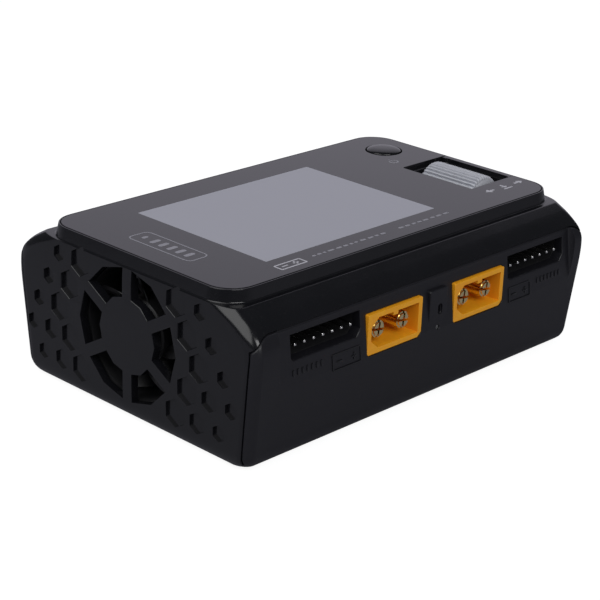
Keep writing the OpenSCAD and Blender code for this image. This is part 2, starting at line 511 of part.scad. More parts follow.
module capacitors() color([0.15, 0.2, 0.4]) for (x = [-12, -2], y = [-8, 4]) rod_z(x, y, 4, main_top, main_top + 9);
module power_chips() color([0.05, 0.05, 0.05]) for (x = [-30, -20, 14, 24], y = [7.5, 12.8]) box(x, x + 5, y, y + 4.5, main_top, main_top + 1.1);
module processor() color([0.05, 0.05, 0.05]) box(-20, -10, 5, 15, disp_z - 1.2, disp_z);
module buzzer() color([0.05, 0.05, 0.05]) difference() {
    rod_z(conn_x, out_y + 10, 4.3, main_top, main_top + 4);
    rod_z(conn_x, out_y + 10, 0.8, main_top + 2.5, main_top + 5);
}
module light_pipe() color([0.8, 0.85, 0.9, 0.5]) rod_y(conn_x, main_top + 0.75, 0.5, -hd + 0.95, -hd + 5.6);
module fan_socket() color([0.85, 0.85, 0.8]) box(board_x0 + 1, board_x0 + 6, -16, -9, main_top, main_top + 4);
module screw(x, y, z0, dir, head_r, head_h, r, len) translate([x, y, z0]) {
    rod_z(0, 0, head_r, dir > 0 ? -head_h : 0, dir > 0 ? 0 : head_h);
    rod_z(0, 0, r, dir > 0 ? -0.1 : -len, dir > 0 ? len : 0.1);
}
module board_screws() color([0.7, 0.7, 0.72]) for (p = POSTS) screw(p[0], p[1], main_top, -1, 1.9, 1.3, 0.9, 6);
module display_screws() color([0.7, 0.7, 0.72]) for (p = DISP_POSTS) screw(p[0], p[1], disp_z, 1, 1.7, 1.1, 0.8, 3.8);
module case_screws() color([0.3, 0.3, 0.32]) for (p = SCREWS) difference() {
    screw(p[0], p[1], foot_h + 2.4, 1, 2.3, 1.6, screw_r, 7);
    translate([p[0], p[1], 0]) { box(-1.5, 1.5, -0.3, 0.3, 0, foot_h + 1.4); box(-0.3, 0.3, -1.5, 1.5, 0, foot_h + 1.4); }
}
module feet() color([0.04, 0.04, 0.04]) for (p = FEET) rod_z(p[0], p[1], foot_d / 2, 0, foot_h + 0.5);

top_shell();
bottom_shell();
front_panel();
display_glass();
display_tray();
display_ribbon();
button_cap();
button_switch();
button_plunger();
scroll_wheel();
wheel_shaft();
wheel_carrier();
wheel_switch();
wheel_plunger();
wheel_guide_pins();
balance_socket_left();
balance_pins_left();
balance_socket_right();
balance_pins_right();
output_left();
output_pins_left();
output_right();
output_pins_right();
input_plug();
input_pins();
usb_shell();
usb_tongue();
fan_frame();
fan_rotor();
fan_shaft();
fan_bearing();
fan_stator();
main_board();
display_board();
board_link();
heatsink();
thermal_pads();
inductors();
capacitors();
power_chips();
processor();
buzzer();
light_pipe();
fan_socket();
board_screws();
display_screws();
case_screws();
feet();
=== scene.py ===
# %% [markdown]
# # A desktop balance charger, from the inside out
#
# The object is a black moulded case about a hand wide. It has a flat display panel on top, a ribbed scroll
# wheel and a round button beside the display, a fan behind a grille in the left end, and a row of sockets
# along the front: two orange power outputs between two seven-pin balance sockets.
#
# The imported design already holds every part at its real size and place. This lesson leaves those sizes alone
# and makes the surfaces: rounded edges, pockets with softened rims, printed marks and moulded finishes.

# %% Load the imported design
import json
import math
import random

import bmesh
import bpy
from mathutils import Matrix, Vector
from mathutils.bvhtree import BVHTree


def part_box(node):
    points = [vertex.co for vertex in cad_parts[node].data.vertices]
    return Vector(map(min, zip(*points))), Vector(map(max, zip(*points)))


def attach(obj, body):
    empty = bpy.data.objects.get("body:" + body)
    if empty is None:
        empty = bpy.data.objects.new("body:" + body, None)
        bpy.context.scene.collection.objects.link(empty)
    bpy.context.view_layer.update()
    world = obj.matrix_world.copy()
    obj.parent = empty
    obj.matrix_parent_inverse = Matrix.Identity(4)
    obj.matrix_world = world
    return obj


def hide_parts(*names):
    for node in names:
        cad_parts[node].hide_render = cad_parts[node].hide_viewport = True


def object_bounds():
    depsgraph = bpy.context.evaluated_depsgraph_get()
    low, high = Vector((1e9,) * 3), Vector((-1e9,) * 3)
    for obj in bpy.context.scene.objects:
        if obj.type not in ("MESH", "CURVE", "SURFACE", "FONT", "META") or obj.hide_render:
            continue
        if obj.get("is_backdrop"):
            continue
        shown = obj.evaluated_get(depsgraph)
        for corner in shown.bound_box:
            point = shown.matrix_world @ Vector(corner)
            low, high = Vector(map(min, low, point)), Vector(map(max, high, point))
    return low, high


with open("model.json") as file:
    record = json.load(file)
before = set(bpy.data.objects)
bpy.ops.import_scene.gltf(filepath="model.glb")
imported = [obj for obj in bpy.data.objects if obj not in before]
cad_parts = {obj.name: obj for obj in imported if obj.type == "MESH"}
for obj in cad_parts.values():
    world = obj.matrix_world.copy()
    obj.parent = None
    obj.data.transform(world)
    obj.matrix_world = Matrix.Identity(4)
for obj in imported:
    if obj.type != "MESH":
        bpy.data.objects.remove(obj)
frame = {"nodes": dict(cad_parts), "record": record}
cad_low, cad_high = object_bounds()
scene = bpy.context.scene
MM = 0.001
BODY_OF = {node: body for body, nodes in frame["record"]["behaviour"]["bodies"].items() for node in nodes}
SLOT_OF = {part["node"]: part["material_slot"] for part in frame["record"]["subparts"]}

# %% [markdown]
# ## The camera
#
# A long lens a little above the table, turned to the corner between the fan end and the socket side. The
# angles are a compass bearing from the back of the case, a tilt down and a slight roll. They are turned into
# three axes, because a camera looks along its own minus Z with its own Y up.

# %% Camera
camera_spot = Vector((-253.6, -238.9, 150.9)) * MM
bearing, tilt, roll = (math.radians(a) for a in (46.45, 21.63, 2.17))
FOCAL_LENGTH = 106.04
SENSOR = 36.0

forward = Vector((math.sin(bearing) * math.cos(tilt), math.cos(bearing) * math.cos(tilt), -math.sin(tilt)))
level = Vector((math.cos(bearing), -math.sin(bearing), 0))
above = level.cross(forward)
right = level * math.cos(roll) + above * math.sin(roll)
upward = right.cross(forward)
camera = bpy.data.objects.new("camera", bpy.data.cameras.new("camera"))
scene.collection.objects.link(camera)
camera.data.lens, camera.data.sensor_width = FOCAL_LENGTH, SENSOR
camera.data.clip_start, camera.data.clip_end = 0.01, 20
axes = Matrix((right, upward, -forward)).transposed()
camera.matrix_world = Matrix.Translation(camera_spot) @ axes.to_4x4()
scene.camera = camera
scene.view_settings.view_transform = "Standard"
print(f"camera {camera_spot.length:.3f} m away, {FOCAL_LENGTH:.0f} mm lens")

# %% [markdown]
# ## Floor and light
#
# The floor is pale and plain. Black gloss shows nothing but what it reflects, so the lights matter more than
# the paint. A wide soft wall of light behind the case greys the panel. A tall box up on the left draws the
# bright band down the moulded corner and the thin lines on the pocket rims. A key light over the shoulder
# stands where hardly anything mirrors it, and brings out the sockets and the wheel. The rest stays dim, so
# that the sides go black.

# %% Floor and world
def shader_of(owner, *names):
    """The node tree of a material or world, emptied, with its output and the named nodes."""
    owner.use_nodes = True
    tree = owner.node_tree
    tree.nodes.clear()
    return tree, *[tree.nodes.new(name) for name in names]


def seen_and_reflected(owner, output, seen, reflected):
    """Mixes two shaders: one for what the camera sees, one for what lights and reflections meet."""
    tree = owner.node_tree
    path = tree.nodes.new("ShaderNodeLightPath")
    mix = tree.nodes.new("ShaderNodeMixShader")
    tree.links.new(path.outputs["Is Camera Ray"], mix.inputs[0])
    tree.links.new(reflected.outputs[0], mix.inputs[1])
    tree.links.new(seen.outputs[0], mix.inputs[2])
    tree.links.new(mix.outputs[0], output.inputs["Surface"])


world = scene.world or bpy.data.worlds.new("studio")
scene.world = world
tree, out, seen, reflected = shader_of(
    world, "ShaderNodeOutputWorld", "ShaderNodeBackground", "ShaderNodeBackground")
DIM_ROOM = 0.07
seen.inputs["Color"].default_value = (1, 1, 1, 1)
reflected.inputs["Color"].default_value = (0.86, 0.9, 1, 1)
reflected.inputs["Strength"].default_value = DIM_ROOM
seen_and_reflected(world, out, seen, reflected)

floor_size = 3.0
floor_mesh = bpy.data.meshes.new("floor")
floor_mesh.from_pydata([(x * floor_size, y * floor_size, 0) for x, y in ((-1, -1), (1, -1), (1, 1), (-1, 1))],
                       [], [(0, 1, 2, 3)])
floor = bpy.data.objects.new("floor", floor_mesh)
scene.collection.objects.link(floor)
paper = bpy.data.materials.new("pale paper")
tree, out, glow, paper_seen, paper_lit, blend = shader_of(
    paper, "ShaderNodeOutputMaterial", "ShaderNodeEmission", "ShaderNodeBsdfDiffuse", "ShaderNodeBsdfDiffuse",
    "ShaderNodeMixShader")
PAPER_GLOW = 1.22
SHADOW_SHARE = 0.25
glow.inputs["Strength"].default_value = PAPER_GLOW
paper_seen.inputs["Color"].default_value = (0.9, 0.9, 0.9, 1)
paper_lit.inputs["Color"].default_value = (0.3, 0.3, 0.335, 1)
blend.inputs[0].default_value = SHADOW_SHARE
tree.links.new(glow.outputs[0], blend.inputs[1])
tree.links.new(paper_seen.outputs[0], blend.inputs[2])
seen_and_reflected(paper, out, blend, paper_lit)
floor_mesh.materials.append(paper)
floor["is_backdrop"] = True
print("floor and world")

# %% Soft boxes
def soft_box(name, direction, distance, width, height, power, colour=(1, 1, 1)):
    """A rectangular light on a line from the middle of the case, facing it."""
    middle = (cad_low + cad_high) / 2
    light = bpy.data.lights.new(name, "AREA")
    light.shape, light.size, light.size_y = "RECTANGLE", width, height
    light.energy, light.color = power, colour
    box = bpy.data.objects.new(name, light)
    box.location = middle + Vector(direction).normalized() * distance
    box.rotation_euler = (middle - box.location).to_track_quat("-Z", "Y").to_euler()
    scene.collection.objects.link(box)


soft_box("wall of light behind", (0.66, 0.62, 0.40), 0.9, 1.3, 0.85, 1.85, (0.91, 0.87, 1.0))
soft_box("tall box on the left", (-0.70, 0.10, 0.68), 0.8, 0.62, 0.9, 3.6)
soft_box("key over the shoulder", (-0.3, -0.8, 0.62), 1.1, 0.7, 0.6, 6.5)
print("3 soft boxes")

# %% [markdown]
# ## Finishes
#
# Moulded plastic is never one flat colour. The mould's spark-eroded texture breaks up the gloss, handling
# polishes the edges, and fine dust settles on what faces up. Each of these effects is a node group with named
# inputs, so that every finish can place it with its own values. The groups give only masks and heights; the
# shader itself stays in each material.

# %% Shared effects
def effect_group(name, inputs, outputs):
    """A shader node group with float inputs {name: default} and the named float outputs."""
    group = bpy.data.node_groups.new(name, "ShaderNodeTree")
    for label, value in inputs.items():
        socket = group.interface.new_socket(label, in_out="INPUT", socket_type="NodeSocketFloat")
        socket.default_value = value
    for label in outputs:
        group.interface.new_socket(label, in_out="OUTPUT", socket_type="NodeSocketFloat")
    return group, group.nodes.new("NodeGroupInput"), group.nodes.new("NodeGroupOutput")


def value_node(tree, operation, first, second=None, clamp=False):
    """A Math node fed by sockets or numbers; returns its output."""
    node = tree.nodes.new("ShaderNodeMath")
    node.operation, node.use_clamp = operation, clamp
    for socket, feed in zip(node.inputs, (first, second)):
        if isinstance(feed, bpy.types.NodeSocket):
            tree.links.new(feed, socket)
        elif feed is not None:
            socket.default_value = feed
    return node.outputs[0]


def noise_node(tree, scale, detail, coordinates=None):
    """A noise texture in object space; scale is a number or a socket."""
    if coordinates is None:
        coordinates = tree.nodes.new("ShaderNodeTexCoord").outputs["Object"]
    noise = tree.nodes.new("ShaderNodeTexNoise")
    noise.inputs["Detail"].default_value = detail
    tree.links.new(coordinates, noise.inputs["Vector"])
    if isinstance(scale, bpy.types.NodeSocket):
        tree.links.new(scale, noise.inputs["Scale"])
    else:
        noise.inputs["Scale"].default_value = scale
    return noise.outputs["Fac"]


GRAIN, grain_in, grain_out = effect_group("mould grain", {"Scale": 4000, "Coarse": 0.3}, ["Height", "Mottle"])
fine = noise_node(GRAIN, grain_in.outputs["Scale"], 3)
broad = noise_node(GRAIN, value_node(GRAIN, "MULTIPLY", grain_in.outputs["Scale"], 0.02), 2)
mixed = value_node(GRAIN, "ADD", fine, value_node(GRAIN, "MULTIPLY", broad, grain_in.outputs["Coarse"]))
GRAIN.links.new(mixed, grain_out.inputs["Height"])
GRAIN.links.new(broad, grain_out.inputs["Mottle"])

WEAR, wear_in, wear_out = effect_group("edge wear", {"Reach": 0.5, "Patchiness": 900}, ["Mask"])
EDGE_POINTINESS = 0.505
convex = WEAR.nodes.new("ShaderNodeNewGeometry").outputs["Pointiness"]
raised = value_node(WEAR, "MULTIPLY", value_node(WEAR, "SUBTRACT", convex, EDGE_POINTINESS), 14, True)
patches = noise_node(WEAR, wear_in.outputs["Patchiness"], 4)
broken = value_node(WEAR, "MULTIPLY", raised, patches)
WEAR.links.new(value_node(WEAR, "MULTIPLY", broken, wear_in.outputs["Reach"], True), wear_out.inputs["Mask"])

DUST, dust_in, dust_out = effect_group("settled dust", {"Amount": 0.3, "Scale": 2500}, ["Mask"])
facing = DUST.nodes.new("ShaderNodeSeparateXYZ")
DUST.links.new(DUST.nodes.new("ShaderNodeNewGeometry").outputs["Normal"], facing.inputs[0])
specks = value_node(DUST, "SUBTRACT", noise_node(DUST, dust_in.outputs["Scale"], 5), 0.6)
specks = value_node(DUST, "MULTIPLY", specks, 4, True)
upward_specks = value_node(DUST, "MULTIPLY", specks, facing.outputs["Z"], True)
settled = value_node(DUST, "MULTIPLY", upward_specks, dust_in.outputs["Amount"], True)
DUST.links.new(settled, dust_out.inputs["Mask"])

LINES, lines_in, lines_out = effect_group("drawn lines", {"Along": 120, "Across": 9000}, ["Height"])
stretch = LINES.nodes.new("ShaderNodeCombineXYZ")
for axis, label in (("X", "Across"), ("Y", "Along"), ("Z", "Across")):
    LINES.links.new(lines_in.outputs[label], stretch.inputs[axis])
scaled = LINES.nodes.new("ShaderNodeVectorMath")
scaled.operation = "MULTIPLY"
LINES.links.new(LINES.nodes.new("ShaderNodeTexCoord").outputs["Object"], scaled.inputs[0])
LINES.links.new(stretch.outputs[0], scaled.inputs[1])
LINES.links.new(noise_node(LINES, 1, 2, scaled.outputs[0]), lines_out.inputs["Height"])
print("4 effect groups:", ", ".join(g.name for g in (GRAIN, WEAR, DUST, LINES)))

# %% [markdown]
# ### From effects to finishes
#
# One function makes every finish. It mixes a second shade into the colour by the broad mottle, lightens worn
# edges, spreads the roughness between two values and turns the grain into a small bump. Values that are the
# same all over, such as how strongly the surface mirrors, are set straight on the shader.

# %% A finish from a few values
def group_node(tree, group, **values):
    node = tree.nodes.new("ShaderNodeGroup")
    node.node_tree = group
    for label, value in values.items():
        node.inputs[label].default_value = value
    return node


def mixed_colour(tree, mask, first, second):
    """Mixes two colours by a mask; first may be a colour or a socket."""
    mix = tree.nodes.new("ShaderNodeMix")
    mix.data_type = "RGBA"
    factor, colour_a, colour_b = mix.inputs[0], mix.inputs[6], mix.inputs[7]
    tree.links.new(mask, factor)
    if isinstance(first, bpy.types.NodeSocket):
        tree.links.new(first, colour_a)
    else:
        colour_a.default_value = (*first, 1)
    colour_b.default_value = (*second, 1)
    return mix.outputs[2]


def shades(colour, factor):
    return tuple(min(1.0, c * factor) for c in colour)


WORN_PLASTIC, WORN_METAL = 2.2, 1.3
DUST_COLOUR = (0.35, 0.34, 0.33)


def finish_of(name, colour, rough=(0.35, 0.5), grain=4000, depth=0.00002, wear=0.4, dust=0.0, metallic=0.0,
              specular=0.5, drawn=False, shade=1.35):
    """A procedural finish: two shades, worn edges, dust, a roughness range and a fine bump."""
    material = bpy.data.materials.new(name)
    material.use_nodes = True
    tree = material.node_tree
    skin = tree.nodes["Principled BSDF"]
    grain_node = group_node(tree, GRAIN, Scale=grain)
    wear_node = group_node(tree, WEAR, Reach=wear)
    tint = mixed_colour(tree, grain_node.outputs["Mottle"], colour, shades(colour, shade))
    worn = shades(colour, WORN_PLASTIC if metallic < 0.5 else WORN_METAL)
    tint = mixed_colour(tree, wear_node.outputs["Mask"], tint, worn)
    if dust:
        dust_node = group_node(tree, DUST, Amount=dust)
        tint = mixed_colour(tree, dust_node.outputs["Mask"], tint, DUST_COLOUR)
    tree.links.new(tint, skin.inputs["Base Color"])
    spread = tree.nodes.new("ShaderNodeMapRange")
    spread.inputs["To Min"].default_value, spread.inputs["To Max"].default_value = rough
    tree.links.new(grain_node.outputs["Mottle"], spread.inputs["Value"])
    tree.links.new(spread.outputs["Result"], skin.inputs["Roughness"])
    bump = tree.nodes.new("ShaderNodeBump")
    bump.inputs["Strength"].default_value = 0.5
    bump.inputs["Distance"].default_value = depth
    relief = group_node(tree, LINES) if drawn else grain_node
    tree.links.new(relief.outputs["Height"], bump.inputs["Height"])
    tree.links.new(bump.outputs["Normal"], skin.inputs["Normal"])
    skin.inputs["Metallic"].default_value = metallic
    skin.inputs["Specular IOR Level"].default_value = specular
    return material


# %% Plastics
FINISH = {
    "case_gloss": finish_of("gloss black moulding", (0.0045, 0.0046, 0.0058), (0.15, 0.21), 6500, 0.000004,
                            wear=0.25, dust=0.05, specular=0.5),
    "case_matte": finish_of("fine matte moulding", (0.0075, 0.0075, 0.0098), (0.34, 0.44), 7000, 0.00001,
                            wear=0.3, dust=0.06, specular=0.4),
    "panel": finish_of("smooth black acrylic", (0.006, 0.006, 0.0075), (0.05, 0.075), 900, 0.0000004,
                       wear=0.1, dust=0.06, specular=0.5),
    "display": finish_of("unlit display", (0.335, 0.345, 0.385), (0.06, 0.09), 1500, 0.0000004, wear=0.0,
                         dust=0.05, metallic=0.3, shade=1.04),
    "black_plastic": finish_of("black nylon", (0.010, 0.010, 0.011), (0.4, 0.55), 5000, 0.00001),
    "white_plastic": finish_of("white nylon", (0.72, 0.71, 0.67), (0.4, 0.5), 4000, 0.00001, shade=0.93),
    "wheel_grey": finish_of("light grey wheel moulding", (0.39, 0.4, 0.44), (0.32, 0.45), 6500, 0.000012,
                            wear=0.25, shade=1.08),
    "amber_nylon": finish_of("yellow-orange nylon", (0.86, 0.33, 0.012), (0.3, 0.42), 4500, 0.00001, wear=0.3,
                             shade=1.08),
    "ribbon": finish_of("amber film", (0.42, 0.2, 0.04), (0.15, 0.25), 1200, 0.000002),
    "foot_rubber": finish_of("black rubber", (0.014, 0.014, 0.014), (0.7, 0.85), 3500, 0.00004, dust=0.2),
    "thermal_pad": finish_of("soft grey pad", (0.3, 0.32, 0.36), (0.7, 0.8), 2500, 0.00003),
    "board_green": finish_of("green solder mask", (0.015, 0.12, 0.045), (0.25, 0.35), 2000, 0.00001,
                             wear=0.5),
    "ferrite": finish_of("pressed ferrite", (0.05, 0.05, 0.055), (0.6, 0.75), 3000, 0.00003),
}
print(f"{len(FINISH)} plastics and boards")

# %% Metals and clear parts
FINISH |= {
    "plated_steel": finish_of("nickel plate", (0.62, 0.61, 0.6), (0.18, 0.3), 3000, 0.000004, metallic=1.0,
                              drawn=True, shade=0.9),
    "dark_steel": finish_of("black zinc plate", (0.1, 0.1, 0.11), (0.25, 0.4), 3000, 0.000006, metallic=1.0,
                            drawn=True, wear=0.9),
    "tinned": finish_of("bright tin plate", (0.86, 0.85, 0.82), (0.16, 0.26), 4000, 0.000003, metallic=1.0,
                        drawn=True, shade=0.95),
    "gold_plate": finish_of("gold plate", (0.93, 0.74, 0.38), (0.14, 0.24), 3500, 0.000003, metallic=1.0,
                            drawn=True, shade=0.92),
    "copper": finish_of("enamelled copper wire", (0.75, 0.3, 0.13), (0.2, 0.35), 6000, 0.00002, metallic=1.0,
                        drawn=True, shade=0.8),
    "heatsink_metal": finish_of("extruded aluminium", (0.6, 0.61, 0.63), (0.3, 0.45), 2500, 0.00001,
                                metallic=1.0, drawn=True, shade=0.92),
    "capacitor_sleeve": finish_of("aluminium can", (0.55, 0.56, 0.6), (0.2, 0.32), 2500, 0.000005,
                                  metallic=1.0, drawn=True, shade=0.9),
    "clear_plastic": finish_of("clear acrylic", (0.85, 0.9, 0.95), (0.05, 0.12), 2000, 0.000002, wear=0.1),
}
FINISH["clear_plastic"].node_tree.nodes["Principled BSDF"].inputs["Transmission Weight"].default_value = 0.9
INK = finish_of("pale grey print", (0.4, 0.4, 0.44), (0.3, 0.4), 3000, 0.000002, wear=0.0, shade=1.15)
DARK_INK = finish_of("dim grey print", (0.21, 0.21, 0.24), (0.3, 0.4), 3000, 0.000002, wear=0.0, shade=1.15)
for node, thing in frame["nodes"].items():
    thing.data.materials.clear()
    thing.data.materials.append(FINISH[SLOT_OF[node]])
print(f"{len(FINISH) + 2} finishes, set on {len(frame['nodes'])} parts")

# %% [markdown]
# ## Tools for making shapes
#
# Most pieces here are lofts: a stack of outlines with the same number of points, joined ring to ring and
# capped at both ends. Lofts give closed meshes with clean normals. Holes and pockets are cut with other
# lofts whose mouths flare a little, so that every cut edge is softened in the same step.

# %% Meshes, lofts and outlines
def add_mesh(name, points, faces):
    """A new object from points in millimetres, with its faces turned outwards."""
    mesh = bpy.data.meshes.new(name)
    mesh.from_pydata([Vector(p) * MM for p in points], [], faces)
    work = bmesh.new()
    work.from_mesh(mesh)
    bmesh.ops.recalc_face_normals(work, faces=work.faces)
    work.to_mesh(mesh)
    work.free()
    thing = bpy.data.objects.new(name, mesh)
    scene.collection.objects.link(thing)
    return thing


def loft(name, rings):
    """Joins rings of points, all the same length, and caps the two ends."""
    count = len(rings[0])
    faces = [tuple(range(count)), tuple(range((len(rings) - 1) * count, len(rings) * count))]
    for k in range(len(rings) - 1):
        for i in range(count):
            j = (i + 1) % count
            faces.append((k * count + i, k * count + j, (k + 1) * count + j, (k + 1) * count + i))
    return add_mesh(name, [p for ring in rings for p in ring], faces)


def rounded_box(half_x, half_y, radius, steps=8, middle=(0, 0), radius_y=None):
    """The outline of a rectangle with round corners, anticlockwise; radius_y makes the corners elliptical."""
    radius_y = radius_y or radius
    outline = []
    for quarter, (sx, sy) in enumerate(((1, 1), (-1, 1), (-1, -1), (1, -1))):
        for k in range(steps + 1):
            angle = math.pi / 2 * (quarter + k / steps)
            outline.append((middle[0] + sx * (half_x - radius) + radius * math.cos(angle),
                            middle[1] + sy * (half_y - radius_y) + radius_y * math.sin(angle)))
    return outline


def span_box(x_span, y_span, radius, steps):
    """The same outline, given by where it starts and ends along X and Y."""
    return rounded_box((x_span[1] - x_span[0]) / 2, (y_span[1] - y_span[0]) / 2, radius, steps,
                       (sum(x_span) / 2, sum(y_span) / 2))


def circle(radius, steps=32, middle=(0, 0)):
    return [(middle[0] + radius * math.cos(math.tau * k / steps),
             middle[1] + radius * math.sin(math.tau * k / steps)) for k in range(steps)]


def grown(outline, by):
    """An anticlockwise outline with every side moved out by the same amount."""
    result = []
    for before, here, after in zip(outline[-1:] + outline[:-1], outline, outline[1:] + outline[:1]):
        first = (Vector(here) - Vector(before)).normalized()
        second = (Vector(after) - Vector(here)).normalized()
        mitre = Vector((first.y + second.y, -first.x - second.x)).normalized()
        reach = by / max(0.4, mitre.dot(Vector((first.y, -first.x))))
        result.append((here[0] + mitre.x * reach, here[1] + mitre.y * reach))
    return result


def hole_tool(name, outline, place, depth, rim=0.2, stand=1.0):
    """A cutter for a hole whose mouth flares by rim; place(u, v, w) is the point at depth w in the face."""
    steps = [(-stand, rim), (0.0, rim), (rim * 0.13, rim * 0.5), (rim * 0.5, rim * 0.13), (rim, 0.0),
             (depth, 0.0)]
    return loft(name, [[place(u, v, w) for u, v in grown(outline, by)] for w, by in steps])


def plate(name, outline, low, high, ease, place=lambda u, v, w: (u, v, w)):
    """A flat piece between two heights with softened upper and lower edges."""
    steps = [(low, -ease), (low + ease * 0.3, -ease * 0.3), (low + ease, 0.0),
             (high - ease, 0.0), (high - ease * 0.3, -ease * 0.3), (high, -ease)]
    return loft(name, [[place(u, v, w) for u, v in grown(outline, by)] for w, by in steps])


def rod(name, radius, steps, spot, low, high):
    """An upright rod between two heights."""
    return loft(name, [[(x, y, z) for x, y in circle(radius, steps, spot)] for z in (low, high)])


# %% Cutting, joining and smoothing
def bake(piece):
    """Applies a piece's modifiers to its mesh."""
    evaluated = piece.evaluated_get(bpy.context.evaluated_depsgraph_get())
    mesh = bpy.data.meshes.new_from_object(evaluated)
    piece.modifiers.clear()
    piece.data = mesh
    return piece


def combine(piece, others, how):
    """Runs a boolean with each of the others, then removes them. how is DIFFERENCE, UNION or INTERSECT."""
    for other in others:
        step = piece.modifiers.new(how.lower(), "BOOLEAN")
        step.operation, step.solver, step.object = how, "MANIFOLD", other
    bake(piece)
    for other in others:
        bpy.data.objects.remove(other)
    return piece


def smoothed(piece, angle=32):
    """Smooth shading with crisp edges past an angle, and normals that follow the large faces."""
    work = bmesh.new()
    work.from_mesh(piece.data)
    bmesh.ops.remove_doubles(work, verts=work.verts, dist=0.5e-6)
    for face in work.faces:
        face.smooth = True
    for edge in work.edges:
        edge.smooth = len(edge.link_faces) == 2 and edge.calc_face_angle(0) < math.radians(angle)
    work.to_mesh(piece.data)
    work.free()
    weights = piece.modifiers.new("face weights", "WEIGHTED_NORMAL")
    weights.keep_sharp, weights.weight = True, 80
    return bake(piece)


def painted(piece, finish):
    piece.data.materials.clear()
    piece.data.materials.append(finish)
    return piece


def stand_for(piece, *nodes):
    """Gives a piece the body of the CAD nodes that it stands for and the finish of their slot, and hides the
    nodes.
    """
    painted(piece, FINISH[SLOT_OF[nodes[0]]])
    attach(piece, BODY_OF[nodes[0]])
    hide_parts(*nodes)
    print(f"{piece.name}: {len(piece.data.polygons)} faces for {', '.join(nodes)}")
    return piece


def middle_of(node):
    """The middle and the half sizes of a part's box, in millimetres."""
    low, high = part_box(node)
    return (low + high) / 2 / MM, (high - low) / 2 / MM


print("shape tools ready")

# %% [markdown]
# ### Geometry Nodes for what repeats
#
# Pockets, ribs, blades and pins are one small shape many times over. Two trees cover them all. One puts
# copies on the points of a mesh, each with its own turn and size from the mesh's attributes. The other turns
# copies round an axis. Both end in Realize Instances and Set Material, so that the result is plain mesh.

# %% Copies on points
def new_tree(name, inputs):
    tree = bpy.data.node_groups.new(name, "GeometryNodeTree")
    tree.interface.new_socket("Geometry", in_out="INPUT", socket_type="NodeSocketGeometry")
    for label, kind in inputs.items():
        tree.interface.new_socket(label, in_out="INPUT", socket_type="NodeSocket" + kind)
    tree.interface.new_socket("Geometry", in_out="OUTPUT", socket_type="NodeSocketGeometry")
    return tree, tree.nodes.new("NodeGroupInput"), tree.nodes.new("NodeGroupOutput")


def finish_tree(tree, source, sink, instances, keep=None):
    """Realizes instances, joins what is kept, sets the material and ends the tree."""
    realize = tree.nodes.new("GeometryNodeRealizeInstances")
    join = tree.nodes.new("GeometryNodeJoinGeometry")
    paint = tree.nodes.new("GeometryNodeSetMaterial")
    tree.links.new(instances, realize.inputs[0])
    tree.links.new(realize.outputs[0], join.inputs[0])
    if keep is not None:
        tree.links.new(keep, join.inputs[0])
    tree.links.new(join.outputs[0], paint.inputs["Geometry"])
    tree.links.new(source.outputs["Material"], paint.inputs["Material"])
    tree.links.new(paint.outputs[0], sink.inputs[0])


def named_vector(tree, name):
    node = tree.nodes.new("GeometryNodeInputNamedAttribute")
    node.data_type = "FLOAT_VECTOR"
    node.inputs["Name"].default_value = name
    return node.outputs["Attribute"]


ON_POINTS, source, sink = new_tree("copies on points", {"Piece": "Object", "Material": "Material"})
info = ON_POINTS.nodes.new("GeometryNodeObjectInfo")
copies = ON_POINTS.nodes.new("GeometryNodeInstanceOnPoints")
ON_POINTS.links.new(source.outputs["Piece"], info.inputs["Object"])
ON_POINTS.links.new(source.outputs["Geometry"], copies.inputs["Points"])
ON_POINTS.links.new(info.outputs["Geometry"], copies.inputs["Instance"])
ON_POINTS.links.new(named_vector(ON_POINTS, "turn"), copies.inputs["Rotation"])
ON_POINTS.links.new(named_vector(ON_POINTS, "size"), copies.inputs["Scale"])
finish_tree(ON_POINTS, source, sink, copies.outputs[0])

# %% Copies round an axis
ROUND_AXIS, source, sink = new_tree("copies round an axis", {
    "Piece": "Object", "Count": "Int", "Axis": "Vector", "Centre": "Vector", "Material": "Material"})
info = ROUND_AXIS.nodes.new("GeometryNodeObjectInfo")
points = ROUND_AXIS.nodes.new("GeometryNodePoints")
copies = ROUND_AXIS.nodes.new("GeometryNodeInstanceOnPoints")
index = ROUND_AXIS.nodes.new("GeometryNodeInputIndex")
share = ROUND_AXIS.nodes.new("ShaderNodeMath")
angle = ROUND_AXIS.nodes.new("ShaderNodeMath")
turn = ROUND_AXIS.nodes.new("ShaderNodeVectorMath")
share.operation, angle.operation, turn.operation = "DIVIDE", "MULTIPLY", "SCALE"
angle.inputs[1].default_value = math.tau
for start, end in (
        (source.outputs["Piece"], info.inputs["Object"]), (source.outputs["Count"], points.inputs["Count"]),
        (source.outputs["Centre"], points.inputs["Position"]), (index.outputs[0], share.inputs[0]),
        (source.outputs["Count"], share.inputs[1]), (share.outputs[0], angle.inputs[0]),
        (source.outputs["Axis"], turn.inputs[0]), (angle.outputs[0], turn.inputs["Scale"]),
        (turn.outputs[0], copies.inputs["Rotation"]), (points.outputs[0], copies.inputs["Points"]),
        (info.outputs["Geometry"], copies.inputs["Instance"])):
    ROUND_AXIS.links.new(start, end)
finish_tree(ROUND_AXIS, source, sink, copies.outputs[0], source.outputs["Geometry"])


def grown_by_nodes(name, base, tree, piece, finish, **values):
    """Runs a tree on a base mesh, keeps the result as a plain mesh and removes the piece it copied."""
    thing = bpy.data.objects.new(name, base)
    scene.collection.objects.link(thing)
    step = thing.modifiers.new(tree.name, "NODES")
    step.node_group = tree
    settings = {"Piece": piece, "Material": finish} | values
    for item in tree.interface.items_tree:
        if item.item_type == "SOCKET" and item.in_out == "INPUT" and item.name in settings:
            step[item.identifier] = settings[item.name]
    bake(thing)
    bpy.data.objects.remove(piece)
    return thing


